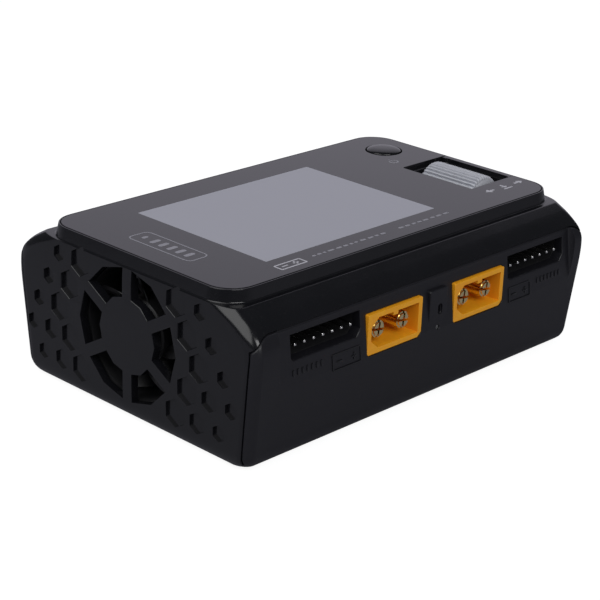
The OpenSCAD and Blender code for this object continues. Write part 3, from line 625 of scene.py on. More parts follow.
def copies_at(name, piece, spots, finish):
    """Copies of a piece at (place, turn, size) spots; places are in millimetres, turns in degrees."""
    base = bpy.data.meshes.new(name)
    base.from_pydata([Vector(place) * MM for place, _, _ in spots], [], [])
    for label, column in (("turn", 1), ("size", 2)):
        attribute = base.attributes.new(label, "FLOAT_VECTOR", "POINT")
        for k, spot in enumerate(spots):
            value = Vector(spot[column])
            attribute.data[k].vector = value * math.radians(1) if label == "turn" else value
    return grown_by_nodes(name, base, ON_POINTS, piece, finish)


def copies_round(name, piece, count, axis, centre, finish, base=None):
    return grown_by_nodes(name, base or bpy.data.meshes.new(name), ROUND_AXIS, piece, finish,
                          Count=count, Axis=Vector(axis), Centre=Vector(centre) * MM)


print("2 trees:", ON_POINTS.name, "and", ROUND_AXIS.name)

# %% [markdown]
# ## The case
#
# Seen from the end, the case is a soft lozenge: a rounded foot, a side that leans out to a widest line, a
# slightly bulging chamfer up to a narrow shelf, and a lip that rings the display panel. Its profile is a
# short list of corners, each with the rounding it gets. The plan outline changes its corner radius on the
# way up.

# %% Driving sizes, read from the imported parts
half_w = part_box("top_shell")[1].x / MM
half_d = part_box("bottom_shell")[1].y / MM
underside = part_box("bottom_shell")[0].z / MM
panel_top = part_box("front_panel")[1].z / MM
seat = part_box("front_panel")[0].z / MM
z_seam = panel_top - 6.4
z_shelf = panel_top - 2.75
z_wide = panel_top - 10.5
lip_top = panel_top - 0.08
wall = 2.0
part_gap = 0.12
EASE_STEPS = 7

PANEL_RADIUS = 5.6
# depth inset, width inset, corner half widths along X and Y, height, rounding
PROFILE = [
    (9.0, 4.0, 2.4, 3.0, underside, 0),
    (2.3, 0.35, 2.4, 3.0, underside, 3.2),
    (0.0, 0.0, 1.8, 3.0, z_wide - 1.7, 3.0),
    (0.12, 0.0, 1.8, 3.6, z_wide + 2.6, 3.2),
    (3.3, 0.12, 2.3, 5.4, z_shelf - 2.05, 4.2),
    (6.85, 0.26, 2.8, 7.25, z_shelf + 0.08, 0.2),
    (8.05, 0.62, PANEL_RADIUS + 0.9, PANEL_RADIUS + 0.9, z_shelf + 0.1, 0.3),
    (8.5, 1.2, PANEL_RADIUS + 0.5, PANEL_RADIUS + 0.5, lip_top, 0.12),
    (8.8, 1.5, PANEL_RADIUS + 0.2, PANEL_RADIUS + 0.2, lip_top, 0.05),
    (8.8, 1.5, PANEL_RADIUS + 0.2, PANEL_RADIUS + 0.2, seat, 0)]


def eased(stations):
    """Rounds each inner corner of a profile with a short curve."""
    line = [Vector(stations[0][:5])]
    for before, here, after in zip(stations, stations[1:], stations[2:]):
        corner = Vector(here[:5])
        arms = []
        for other in (before, after):
            arm = Vector(other[:5]) - corner
            arms.append(arm * min(0.48, here[5] / math.hypot(arm[0], arm[4])))
        for k in range(EASE_STEPS + 1):
            t = k / EASE_STEPS
            line.append(corner + arms[0] * (1 - t) ** 2 + arms[1] * t ** 2)
    return line + [Vector(stations[-1][:5])]


def case_solid(name):
    """The whole outside of the case, without openings."""
    rings = []
    for in_y, in_x, corner_x, corner_y, z in eased(PROFILE):
        outline = rounded_box(half_w - in_x, half_d - in_y, corner_x, 14, radius_y=corner_y)
        rings.append([(x, y, z) for x, y in outline])
    return loft(name, rings)


print(f"case {2 * half_w:.1f} x {2 * half_d:.1f} mm, panel at {panel_top:.1f} mm")

# %% [markdown]
# ### The parting line
#
# The upper shell keeps the two end walls and everything above the seam, and the lower shell is a trough
# between them. The boundary is one prism with rounded top corners, less two end prisms. It is drawn twice
# with a small gap between. A real parting line shows as a dark line between two rounded edges, so a tool with
# a hollow round profile is swept along the skin, and planes the edge of each shell to its own radius.

# %% Where the shells part
seam_corner = 4.9
seam_side = half_w + 0.3 - seam_corner
z_foot = underside + 2.2
EDGE_AT_FOOT, EDGE_AT_WIDEST = 3.95, 2.1
EDGE_LEAN = (0.5, 7.1)


def end_edge(z, grow=0.0):
    """How far in from the widest line the end wall's edge lies, at a height."""
    share = min(1.0, max(0.0, (z - z_foot) / (z_wide - z_foot)))
    lean = EDGE_LEAN[0] * max(0.0, z - z_wide) / EDGE_LEAN[1]
    return EDGE_AT_FOOT + (EDGE_AT_WIDEST - EDGE_AT_FOOT) * share + lean + grow


def lower_zone(name, grow):
    """The space of the lower shell, moved out by grow at the seam."""
    centre_z = z_seam - seam_corner
    arc = [(seam_side + seam_corner * math.cos(a) + grow, centre_z + seam_corner * math.sin(a) + grow)
           for a in (math.pi / 2 * k / 10 for k in range(11))]
    outline = [(half_w + 1, -1)] + arc + [(-x, z) for x, z in reversed(arc)] + [(-half_w - 1, -1)]
    zone = loft(name, [[(x, y, z) for x, z in outline] for y in (-half_d - 5, half_d + 5)])
    heights = (-2, z_foot, z_wide, z_seam + 3)
    side = [(-half_d + end_edge(z, grow), z) for z in heights]
    profile = side + [(-y, z) for y, z in reversed(side)]
    ends = []
    for sign in (-1, 1):
        near, far = sign * (half_w - wall + grow), sign * (half_w + 3)
        ends.append(loft("end prism", [[(x, y, z) for y, z in profile] for x in (near, far)]))
    return combine(zone, ends, "DIFFERENCE")


def hollow():
    """The space inside the case, a prism with a narrower top."""
    side = [(wall + 1.9, underside + 1.8), (wall + 0.1, z_wide), (wall + 1.4, z_seam - 1.3),
            (wall + 5.6, z_shelf - 2.3), (wall + 7.8, z_shelf - 1.0)]
    front = [(-half_d + inset, z) for inset, z in side]
    outline = front + [(-y, z) for y, z in reversed(front)]
    body = loft("hollow", [[(x, y, z) for y, z in outline] for x in (-half_w + wall, half_w - wall)])
    top_outline = rounded_box(half_w - wall - 1, half_d - 10, 7.4)
    return combine(body, [plate("hollow top", top_outline, z_shelf - 1.1, seat - 1.5, 0.05)], "UNION")


# %% The path of the seam
outer = case_solid("case outline")
surface = bmesh.new()
surface.from_mesh(outer.data)
SKIN = BVHTree.FromBMesh(surface)


def skin_point(start, direction):
    """Where a ray from outside meets the case: a point in millimetres and the skin's normal."""
    hit, normal = SKIN.ray_cast(Vector(start) * MM, Vector(direction))[:2]
    return (hit / MM, normal) if hit is not None else None


FAR_OUT = 9
ALONG_FRONT, ALONG_END = 4, 1.2


def seam_half():
    """Points on the skin along the seam, from the middle of the front to the foot of the left end."""
    path = [skin_point((x, -half_d - FAR_OUT, z_seam), (0, 1, 0))
            for x in range(0, -int(seam_side), -ALONG_FRONT)]
    for k in range(25):
        a = math.pi / 2 * (1 + k / 24)
        x, z = -seam_side + seam_corner * math.cos(a), z_seam - seam_corner + seam_corner * math.sin(a)
        found = skin_point((x, -half_d - FAR_OUT, z), (0, 1, 0))
        if found is None or found[0].y > -half_d + end_edge(z):
            break
        path.append(found)
    z = path[-1][0].z - 0.6
    while z > underside + 0.4:
        found = skin_point((-half_w - FAR_OUT, -half_d + end_edge(z), z), (1, 0, 0))
        if found is not None:
            path.append(found)
        z -= ALONG_END
    return path


def mirrored(path, sx, sy):
    """A path of points and normals with its X and Y multiplied by signs."""
    return [(Vector((p.x * sx, p.y * sy, p.z)), Vector((n.x * sx, n.y * sy, n.z))) for p, n in path]


# %% Tools that round the edges along the seam
def edge_tool(path, radius, lower, face):
    """Sweeps the waste outside a rounded edge, of the lower or upper shell; face is 1 in front, -1 behind."""
    rings = []
    stand_off = 0.4
    for k, (point, normal) in enumerate(path):
        tangent = (path[min(k + 1, len(path) - 1)][0] - path[max(k - 1, 0)][0]).normalized()
        outward = (normal - tangent * normal.dot(tangent)).normalized()
        up = outward.cross(tangent).normalized()
        if up.dot(Vector((0, face, 1))) < 0:
            up = -up
        inward = -up if lower else up
        profile = [(-part_gap, stand_off), (radius, stand_off), (radius, 0.0)]
        profile += [(radius * (1 - math.sin(a)), -radius * (1 - math.cos(a)))
                    for a in (math.pi / 2 * j / 6 for j in range(1, 7))]
        profile += [(-part_gap, -radius)]
        rings.append([point + inward * s + outward * n for s, n in profile])
    return loft("edge tool", rings)


def edge_tools(radius, lower):
    """The front and back tools for one shell's edge."""
    half = seam_half()
    whole = mirrored(half[1:], -1, 1)[::-1] + half
    return [edge_tool(mirrored(whole, 1, face), radius, lower, face) for face in (1, -1)]


print(f"seam path of {len(seam_half())} points a side")

# %% [markdown]
# ### Cutting the upper shell
#
# The left end carries the fan grille: six openings between three crossing spokes, cut by one tool turned
# round the fan's axis by Geometry Nodes. The six-sided pockets beside it come in three sizes on a staggered
# grid, and one tool on a cloud of points cuts them all. The right end has the same pockets and a set of
# upright outlet slots.

# %% Openings of the fan grille
fan_middle, fan_half = middle_of("fan_frame")
GRILLE_OUTER, GRILLE_INNER, SPOKE = 14.08, 8.08, 2.6
through_end = wall + 0.4


def grille_opening():
    """One opening, between two spokes: the corners of a twelve-sided ring, clipped by the spokes."""
    outline = []
    for radius, signs in ((GRILLE_OUTER, (-1, 1)), (GRILLE_INNER, (1, -1))):
        corner = Vector((radius, 0))
        ends = []
        for sign in signs:
            far = Vector((radius * math.cos(math.radians(30)), sign * radius * math.sin(math.radians(30))))
            ends.append(far + (corner - far) * (SPOKE / radius))
        outline += [ends[0], corner, ends[1]]
    return [tuple(p) for p in outline]


def on_left_end(u, v, w):
    return (-half_w + w, u, v)


fan_centre = (0, fan_middle.y, fan_middle.z)
grille_tool = hole_tool("grille opening", grille_opening(), on_left_end, through_end, 0.22)
grille_tools = copies_round("grille openings", grille_tool, 6, (1, 0, 0), fan_centre, None)

# %% Six-sided pockets
HEX_PITCH = 6.56
POCKET_DEPTH = 0.8
# half pitches from the fan's axis, row, size
POCKETS = [(6.25, 0, 0.8), (5.25, 1, 0.8), (5.25, -1, 0.8), (4.25, 2, 0.8), (4.25, -2, 0.8),
           (7.1, -1, 0.6), (6.1, -2, 0.6),
           (8.25, 0, 0.46), (7.25, 1, 0.46), (6.25, 2, 0.46), (8.9, -1, 0.46), (7.9, -2, 0.46)]
hex_radius = HEX_PITCH / math.sqrt(3)
hexagon = [(hex_radius * math.cos(math.radians(30 + 60 * k)),
            hex_radius * math.sin(math.radians(30 + 60 * k))) for k in range(6)]
pocket_tool = hole_tool("pocket", hexagon, lambda u, v, w: (w, u, v), POCKET_DEPTH, 0.26)
pocket_spots = []
for half_pitches, row, size in POCKETS:
    for side in (-1, 1):
        for end, turned in ((-1, 0), (1, 180)):
            y = fan_middle.y + side * half_pitches * HEX_PITCH / 2
            z = fan_middle.z + row * HEX_PITCH * math.sqrt(3) / 2 - 0.1
            pocket_spots.append(((end * half_w, y, z), (0, 0, turned), (1, size, size)))
pockets = copies_at("pockets", pocket_tool, pocket_spots, None)
print(f"{len(pocket_spots)} pockets, pitch {HEX_PITCH} mm")

# %% The upper shell
button_middle, _ = middle_of("button_cap")
wheel_middle, wheel_half = middle_of("scroll_wheel")
wheel_radius, wheel_half_length = wheel_half.x, wheel_half.y
screw_spots = [(sign * (half_w - inset), y) for inset, y in ((5.4, -19.3), (5.9, half_d - 9))
               for sign in (-1, 1)]


def on_top(u, v, w):
    return (u, v, seat - w)


def on_right_end(u, v, w):
    return (half_w - w, -u, v)


WELL_X = (wheel_middle.x - wheel_radius - 0.35, half_w - 2.9)
WELL_Y = (wheel_middle.y - wheel_half_length - 1.1, wheel_middle.y + wheel_half_length + 1.4)
well = span_box(WELL_X, WELL_Y, 0.5, 4)
through_seat = 2.4
display_middle, display_half = middle_of("display_tray")
display_hole = rounded_box(display_half.x + 0.3, display_half.y + 0.3, 0.4, 3, display_middle[:2])
top_tools = [hole_tool("display hole", display_hole, on_top, through_seat, 0.1),
             hole_tool("wheel well", well, on_top, through_seat, 0.22),
             hole_tool("button hole", circle(4.2, 40, button_middle[:2]), on_top, through_seat, 0.1)]
OUTLET_PITCH, OUTLET_TAPER = 2.9, 0.7
for k in range(-4, 5):
    slot_outline = rounded_box(0.8, 6.5 - abs(k) * OUTLET_TAPER, 0.78, 5,
                               (-fan_middle.y - OUTLET_PITCH * k, fan_middle.z - 3))
    top_tools.append(hole_tool("outlet slot", slot_outline, on_right_end, through_end, 0.15))
fan_room = plate("fan room", rounded_box(5.0, fan_half.y + 0.3, 0.2, 2, (-half_w + wall + 4.5, fan_middle.y)),
                 z_shelf - 2.0, fan_middle.z + fan_half.z + 0.2, 0.05)

upper = case_solid("upper_shell")
combine(upper, [hollow(), lower_zone("zone", part_gap / 2)], "DIFFERENCE")
combine(upper, edge_tools(0.16, False), "DIFFERENCE")
bosses = [rod("boss", 2.8, 20, spot, underside + 4.4, z_shelf - 0.6) for spot in screw_spots]
display_posts = [(-15, -half_d + 10.6), (15, -half_d + 10.6), (-34, half_d - 10.6), (28, half_d - 10.6)]
board_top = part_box("display_board")[1].z / MM
bosses += [rod("display post", 2, 20, spot, board_top, seat - 0.6) for spot in display_posts]
peg_ends = (-half_w + wall - 0.4, -half_w + wall + 4.3)
for sy in (-1, 1):
    for sz in (-1, 1):
        peg_y, peg_z = fan_middle.y + sy * (fan_half.y - 2.5), fan_middle.z + sz * (fan_half.z - 2.5)
        bosses.append(loft("fan peg", [[(x, peg_y + y, peg_z + z) for y, z in circle(1.13, 20)]
                                       for x in peg_ends]))
ridge = span_box((WELL_X[1] - 0.05, half_w - 1.35), (WELL_Y[0] - 0.3, WELL_Y[1] + 1.1), 0.1, 2)
bosses.append(plate("ridge beyond the wheel", ridge, seat - 0.4, lip_top, 0.1))
combine(upper, bosses, "UNION")
combine(upper, [fan_room, grille_tools, pockets, *top_tools], "DIFFERENCE")
stand_for(smoothed(upper), "top_shell")

# %% [markdown]
# ### Cutting the lower shell
#
# The sockets sit in a flat area that leans back a little and fades out into the wall below. Its rim is a soft
# fillet, so its tool is a loft that widens in steps. The outputs and balance sockets get openings with the
# outlines of their own housings, and a raised block with two small holes stands between the outputs.

# %% The leaning flat
LEAN = math.radians(6.9)
FLAT_X = (-half_w + 6.4, half_w - 4.2)
output_middle, output_half = middle_of("output_left")
output_right_middle, _ = middle_of("output_right")
row_x = (output_middle.x + output_right_middle.x) / 2


def on_flat(u, v, w):
    """A point on the leaning flat: u along X, v the height, w the depth below it."""
    return (u, -half_d + 2 + (v - z_seam) * math.tan(LEAN) + w, v)


flat_half = ((FLAT_X[1] - FLAT_X[0]) / 2, 8.15)
flat_rings = []
# depth below the flat, how much wider, corner radius
FLAT_STEPS = [(0.0, -0.75, 1.9), (-0.12, -0.3, 2.3), (-0.42, 0.0, 2.6), (-1.2, 0.2, 2.8), (-6.0, 1.0, 3.4)]
for off, by, radius in FLAT_STEPS:
    outline = rounded_box(flat_half[0] + by, flat_half[1] + by, radius, 8, (sum(FLAT_X) / 2, z_seam - 6.15))
    flat_rings.append([on_flat(u, v, off) for u, v in outline])
flat_tool = loft("leaning flat", flat_rings)


# %% Openings for the connectors
def output_outline(middle, half):
    """The two-pin housing's outline, one corner cut, a hair larger than the housing."""
    w, h = half
    shape = [(-w, -h + 0.4), (-w + 0.4, -h), (w - 1, -h), (w, -h + 1),
             (w, h - 0.2), (w - 0.2, h), (-w + 0.2, h), (-w, h - 0.2)]
    return grown([(middle[0] + x, middle[1] + z) for x, z in shape], 0.1)


BALANCE_HALF = (9.4, 2.5)


def balance_outline(middle):
    """The mouth of a seven-pin socket, one corner cut."""
    w, h = BALANCE_HALF
    shape = [(-w, -h + 0.5), (-w + 0.5, -h), (w - 1.2, -h), (w, -h + 1.4), (w, h), (-w, h)]
    return [(middle[0] + x, middle[1] + z) for x, z in shape]


def on_back(u, v, w):
    return (-u, half_d - w, v)


output_size = (output_half.x, output_half.z)
front_tools = []
for node in ("output_left", "output_right"):
    middle, _ = middle_of(node)
    outline = output_outline((middle.x, middle.z), output_size)
    front_tools.append(hole_tool("output opening", outline, on_flat, 8, 0.15, 3))
for node in ("balance_socket_left", "balance_socket_right"):
    middle, _ = middle_of(node)
    outline = balance_outline((middle.x, middle.z))
    front_tools.append(hole_tool("balance opening", outline, on_flat, 6, 0.22, 3))
oval = rounded_box(0.55, 1.05, 0.54, 6, (row_x + 0.5, output_middle.z + 0.1))
front_tools.append(hole_tool("oval hole", oval, on_flat, 4, 0.12, 3))
light_middle, _ = middle_of("light_pipe")
light_hole = circle(0.52, 16, (light_middle.x, light_middle.z))
front_tools.append(hole_tool("pin hole", light_hole, on_flat, 4, 0.1, 3))
input_middle, _ = middle_of("input_plug")
usb_middle, usb_half = middle_of("usb_shell")
input_opening = output_outline((-input_middle.x, input_middle.z), output_size)
data_opening = rounded_box(usb_half.x + 0.15, usb_half.z + 0.15, 0.4, 4, (-usb_middle.x, usb_middle.z))
rear_tools = [hole_tool("input opening", input_opening, on_back, 8, 0.4, 1),
              hole_tool("data opening", data_opening, on_back, 8, 0.4, 1)]


# %% The lower shell
def below(u, v, w):
    return (u, -v, underside + w)


foot_middles = [(sx * (half_w - 14.5), sy * (half_d - 12.5)) for sx in (-1, 1) for sy in (-1, 1)]
under_tools = [hole_tool("screw recess", circle(2.5, 28, (x, -y)), below, 2.4, 0.25) for x, y in screw_spots]
under_tools += [hole_tool("screw hole", circle(1.4, 20, (x, -y)), below, 6, 0.1) for x, y in screw_spots]
under_tools += [hole_tool("foot seat", circle(4.55, 40, (x, -y)), below, 0.5, 0.1) for x, y in foot_middles]

lower = case_solid("lower_shell")
combine(lower, [lower_zone("zone", -part_gap / 2)], "INTERSECT")
combine(lower, edge_tools(0.6, True), "DIFFERENCE")
combine(lower, [flat_tool], "DIFFERENCE")
block = plate("block", rounded_box(2.7, 4.45, 0.5, 5, (row_x, output_middle.z + 0.05)), 0.75, 3.2, 0.25,
              lambda u, v, w: (u, -half_d + w, v))
inner_outline = rounded_box(flat_half[0] + 0.8, 0.9, 0.2, 2, (sum(FLAT_X) / 2, -half_d + 2.75))
behind = loft("inner wall", [[(x, y, z) for x, y in inner_outline] for z in (z_wide - 16, z_seam - 0.6)])
rear_outline = rounded_box(11, 0.9, 0.2, 2, (input_middle.x, half_d - 2.3))
rear_wall = loft("rear wall", [[(x, y, z) for x, y in rear_outline]
                               for z in (underside + 15.6, output_middle.z + 5.6)])
combine(lower, [hollow()], "DIFFERENCE")
post_foot = underside + 0.4
posts = [rod("post", 3.2, 24, spot, post_foot, underside + 3.5) for spot in screw_spots]
board_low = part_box("main_board")[0]
board_x = board_low.x / MM + 3.8
board_posts = [(board_x, -half_d + 8), (board_x, half_d - 8), (34, -half_d + 8), (34, half_d - 7.6)]
posts += [rod("board post", 2.2, 20, spot, post_foot, board_low.z / MM) for spot in board_posts]
combine(lower, [block, behind, rear_wall, *posts], "UNION")
combine(lower, [*front_tools, *rear_tools, *under_tools], "DIFFERENCE")
stand_for(smoothed(lower), "bottom_shell")
bpy.data.objects.remove(outer)
surface.free()

# %% [markdown]
# ## The panel and its marks
#
# The panel is one sheet of acrylic with polished edges, notched round the wheel. The display shows through a
# clear window in its printed back, so the window is a plate set flush into the sheet. The printed marks are
# very thin plates: a frame with a charge gauge, a badge, arrows for the wheel, a power sign by the button and
# two runs of plain dashes. None of them is lettering.

# %% The panel sheet
_, sheet_half = middle_of("front_panel")
panel = plate("panel_sheet", rounded_box(sheet_half.x, sheet_half.y, PANEL_RADIUS, 14), seat, panel_top, 0.1)
WINDOW_X, WINDOW_Y = (-31.74, 17.27), (-18.8, 18.1)
window_outline = span_box(WINDOW_X, WINDOW_Y, 0.12, 2)


def on_panel(u, v, w):
    return (u, v, panel_top - w)


notch_middle = (WELL_X[0] + 7.6, (WELL_Y[0] + WELL_Y[1] + 0.8) / 2)
notch = rounded_box(9, (WELL_Y[1] - WELL_Y[0] + 1.8) / 2, 0.4, 4, notch_middle)
through_panel = 2
combine(panel, [
    hole_tool("window hole", grown(window_outline, 0.01), on_panel, through_panel, 0.002),
    hole_tool("button opening", circle(4.22, 48, button_middle[:2]), on_panel, through_panel, 0.12),
    hole_tool("wheel notch", notch, on_panel, through_panel, 0.12)], "DIFFERENCE")
stand_for(smoothed(panel), "front_panel")
window = plate("display_window", window_outline, seat + 0.3, panel_top, 0.004)
painted(smoothed(window), FINISH["display"])
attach(window, "case")
print(f"window {WINDOW_X[1] - WINDOW_X[0]:.1f} x {WINDOW_Y[1] - WINDOW_Y[0]:.1f} mm")

# %% Printed marks
PRINT_DEPTH = 0.03


def printed(name, outlines, finish=INK, face=on_panel, height=PRINT_DEPTH):
    """Thin plates, one for each outline, joined into one piece."""
    parts = [ring_plate("mark", *outline, -height, height, face) if isinstance(outline, tuple)
             else plate("mark", outline, -height, height, 0.008, face) for outline in outlines]
    mark = parts[0]
    if len(parts) > 1:
        with bpy.context.temp_override(active_object=mark, selected_editable_objects=parts, object=mark):
            bpy.ops.object.join()
    mark.name = name
    painted(smoothed(mark), finish)
    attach(mark, "case")
    return mark


def line_frame(x0, x1, y0, y1, line, radius):
    """A line frame with round corners, as (outline, line width)."""
    return span_box((x0, x1), (y0, y1), radius, 6), line


def ring_plate(name, outline, line, low, high, place):
    """A flat line of even width that follows an outline all the way round."""
    inner = grown(outline, -line)
    loops = [(outline, high), (outline, low), (inner, low), (inner, high)]
    count = len(outline)
    faces = [(a * count + i, a * count + (i + 1) % count, (a + 1) % 4 * count + (i + 1) % count,
              (a + 1) % 4 * count + i) for a in range(4) for i in range(count)]
    return add_mesh(name, [place(u, v, w) for loop, w in loops for u, v in loop], faces)


def bar(x, y, length, width, turn=0.0):
    """A straight bar with rounded ends, turned about its middle, in degrees."""
    c, s = math.cos(math.radians(turn)), math.sin(math.radians(turn))
    outline = rounded_box(length / 2, width / 2, width * 0.45, 3)
    return [(x + u * c - v * s, y + u * s + v * c) for u, v in outline]


def ring_outline(x, y, radius, line, start, sweep, steps=24):
    """Part of a ring, as one closed outline."""
    angles = [math.radians(start + sweep * k / steps) for k in range(steps + 1)]
    sides = [(radius, a) for a in angles] + [(radius - line, a) for a in reversed(angles)]
    return [(x + r * math.cos(a), y + r * math.sin(a)) for r, a in sides]


gauge_x, gauge_pitch = -40.25, 2.45
gauge = [line_frame(-43.0, -37.5, -9.6, 8.5, 0.3, 1.4)]
gauge += [bar(gauge_x, -6.7 + gauge_pitch * k, 2.6, 1.1) for k in range(5)]
gauge += [bar(gauge_x, 6.1, 1.5, 0.9)]
printed("charge_gauge_print", gauge, DARK_INK)
badge_y, minus_x, plus_x = -22.7, -30.6, -27.7
badge = [line_frame(-32.6, -25.6, -24.0, -21.4, 0.36, 0.4)]
badge += [bar(minus_x, badge_y, 1.6, 0.36), bar(plus_x, badge_y, 1.5, 0.36),
          bar(plus_x, badge_y, 1.5, 0.36, 90)]
printed("badge_print", badge, INK)
random.seed(4)
dashes = []
dash_y = -22.4
for start, end in ((-22.9, -1.3), (2.0, 16.6)):
    x = start
    while x < end:
        length = random.uniform(0.7, 1.7)
        dashes.append(bar(x + length / 2, dash_y, length, 0.62))
        x += length + random.uniform(0.45, 0.8)
printed("dash_print", dashes, DARK_INK)
arrow_y = -19.0
arrows = []
for x, sign in ((35.6, -1), (45.0, 1)):
    head = [(x + sign * 1.5, arrow_y), (x + sign * 0.1, arrow_y + 0.95), (x + sign * 0.1, arrow_y - 0.95)]
    arrows += [head[::-1] if sign > 0 else head, bar(x - sign * 0.6, arrow_y, 1.4, 0.62)]
press_x = 40.3
press_head = [(39.4, arrow_y + 0.15), (press_x, arrow_y - 0.75), (41.2, arrow_y + 0.15)]
arrows += [press_head, bar(press_x, arrow_y + 0.6, 1.1, 0.6, 90), bar(press_x, arrow_y - 1.15, 2.8, 0.46)]
printed("arrow_print", arrows, INK)
power_x = 35.3
power = [ring_outline(power_x, 8.4, 1.15, 0.34, 130, 280), bar(power_x, 9.3, 1.3, 0.34, 90)]
printed("power_print", power, DARK_INK)

# %% Moulded marks beside the sockets
moulded = []
sign_z, tick_z, tick_pitch = 17.8, 18.8, 1.25
for x0, x1 in ((-28.9, -20.9), (24.4, 31.8)):
    moulded += [line_frame(x0, x1, 16.1, 19.5, 0.3, 0.4)]
    quarter = (x1 - x0) / 4
    moulded += [bar(x0 + quarter, sign_z, 1.5, 0.34), bar(x1 - quarter, sign_z, 1.5, 0.34),
                bar(x1 - quarter, sign_z, 1.5, 0.34, 90)]
for x0 in (-39.2, 34.3):
    moulded += [bar(x0 + tick_pitch * k, tick_z, 1.3, 0.5, 90) for k in range(7)]
relief = printed("moulded_marks", moulded, FINISH["case_gloss"], on_flat, 0.14)
print("moulded marks done")

# %% [markdown]
# ## The wheel and the button
#
# The scroll wheel is a drum with three dozen straight ribs that grip a fingertip. Each rib is the same small
# bar with sloped ends, so one rib and the turning tree make the whole grip. The button is a turned shape:
# a shallow dome with a rounded shoulder.

# %% The ribbed wheel
RIBS = 36
rib_root, rib_tip = wheel_radius - 0.62, wheel_radius
rib_half = wheel_half_length - 0.35


def turned(name, profile, steps, place):
    """Revolves (radius, along) pairs; place(x, y, along) puts a ring's point where it belongs."""
    rings = [[place(x, y, along) for x, y in circle(max(radius, 0.001), steps)] for radius, along in profile]
    return loft(name, rings)


def about_wheel(x, y, along):
    return (wheel_middle.x + x, wheel_middle.y + along, wheel_middle.z + y)


drum = turned("drum", [
    (1.02, -wheel_half_length + 0.25), (2.3, -wheel_half_length + 0.25), (2.5, -wheel_half_length),
    (3.6, -wheel_half_length), (3.85, -wheel_half_length + 0.12), (rib_root - 0.15, -rib_half - 0.05),
    (rib_root, -rib_half + 0.1), (rib_root, rib_half - 0.1), (rib_root - 0.15, rib_half + 0.05),
    (3.85, wheel_half_length - 0.12), (3.6, wheel_half_length), (2.5, wheel_half_length),
    (2.3, wheel_half_length - 0.25), (1.02, wheel_half_length - 0.25)], 72, about_wheel)
axle_hole = loft("axle hole", [[(wheel_middle.x + x, y, wheel_middle.z + z) for x, z in circle(1.01, 32)]
                               for y in (wheel_middle.y - 12, wheel_middle.y + 12)])
combine(drum, [axle_hole], "DIFFERENCE")
rib_rings = []
# distance from the rib's end, drop below the tip
RIB_END = [(0.0, -0.42), (0.12, -0.2), (0.5, -0.02), (0.7, 0.0)]
rib_line = [(-rib_half + inset, drop) for inset, drop in RIB_END]
rib_line += [(-along, drop) for along, drop in reversed(rib_line)]
for along, drop in rib_line:
    tip = rib_tip + drop
    side = [(0.33, rib_root - 0.2), (0.3, (rib_root + tip) / 2), (0.17, tip - 0.03)]
    ring = side + [(0.0, tip)] + [(-x, height) for x, height in reversed(side)]
    rib_rings.append([(x, along, height) for x, height in ring])
rib = loft("rib", rib_rings)
wheel = copies_round("ribbed_wheel", rib, RIBS, (0, 1, 0), wheel_middle, FINISH["wheel_grey"], drum.data)
bpy.data.objects.remove(drum)
stand_for(smoothed(wheel), "scroll_wheel")

# %% The button
button_low, button_high = (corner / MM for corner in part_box("button_cap"))
dome_radius = 3.9
shoulder = panel_top - 0.05
# radius, height above the foot: the stem, then the flange that stops it
button_foot = [(0.0, 0.0), (1.5, 0.0), (1.6, 0.1), (1.6, 0.6),
               (4.6, 0.6), (4.8, 0.75), (4.8, 1.25), (4.65, 1.4), (dome_radius, 1.4)]
button_profile = [(radius, button_low.z + height) for radius, height in button_foot]
button_profile.append((dome_radius, shoulder))
for k in range(1, 15):
    a = math.radians(90 * k / 14)
    button_profile.append((dome_radius * math.cos(a) ** 0.8 if k < 14 else 0.0,
                           shoulder + (button_high.z - shoulder) * math.sin(a)))
button = turned("round_button", button_profile, 56,
                lambda x, y, along: (button_middle.x + x, button_middle.y + y, along))
stand_for(smoothed(button), "button_cap")

# %% [markdown]
# ## The fan
#
# Behind the grille a seven-bladed rotor turns in a square frame. Each blade is a curved vane: its angle to
# the axis eases from root to tip, and it sweeps back along the way. One blade is lofted from sections and
# copied round the fan's axis.

# %% Rotor
rotor_low, rotor_high = (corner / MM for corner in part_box("fan_rotor"))
rotor_x = (rotor_low.x + rotor_high.x) / 2
BLADES, HUB_RADIUS = 7, 7.0
blade_tip = min(rotor_high.z - fan_middle.z, fan_middle.z - rotor_low.z) - 0.02


def blade_section(radius):
    """A closed aerofoil-like section at a radius, bent round the axis."""
    share = (radius - HUB_RADIUS) / (blade_tip - HUB_RADIUS)
    chord, pitch, sweep = 5.6 + 1.6 * share, math.radians(44 - 12 * share), 0.30 * share
    half_depth = (rotor_high.x - rotor_low.x) / 2 - 0.45
    section = []
    for side in (1, -1):
        for k in range(9):
            t = (k / 8 if side > 0 else 1 - k / 8) * 2 - 1
            thick = side * (0.32 * math.sqrt(max(0.0, 1 - t * t)) + 0.1) + 0.5 * (1 - t * t)
            axial = t * chord / 2 * math.cos(pitch) - thick * math.sin(pitch)
            around = t * chord / 2 * math.sin(pitch) + thick * math.cos(pitch)
            axial = max(-half_depth, min(half_depth, axial))
            a = around / radius + sweep
            section.append((rotor_x + axial, radius * math.sin(a), radius * math.cos(a)))
    return section


def about_fan(x, y, along):
    return (along, fan_middle.y + x, fan_middle.z + y)


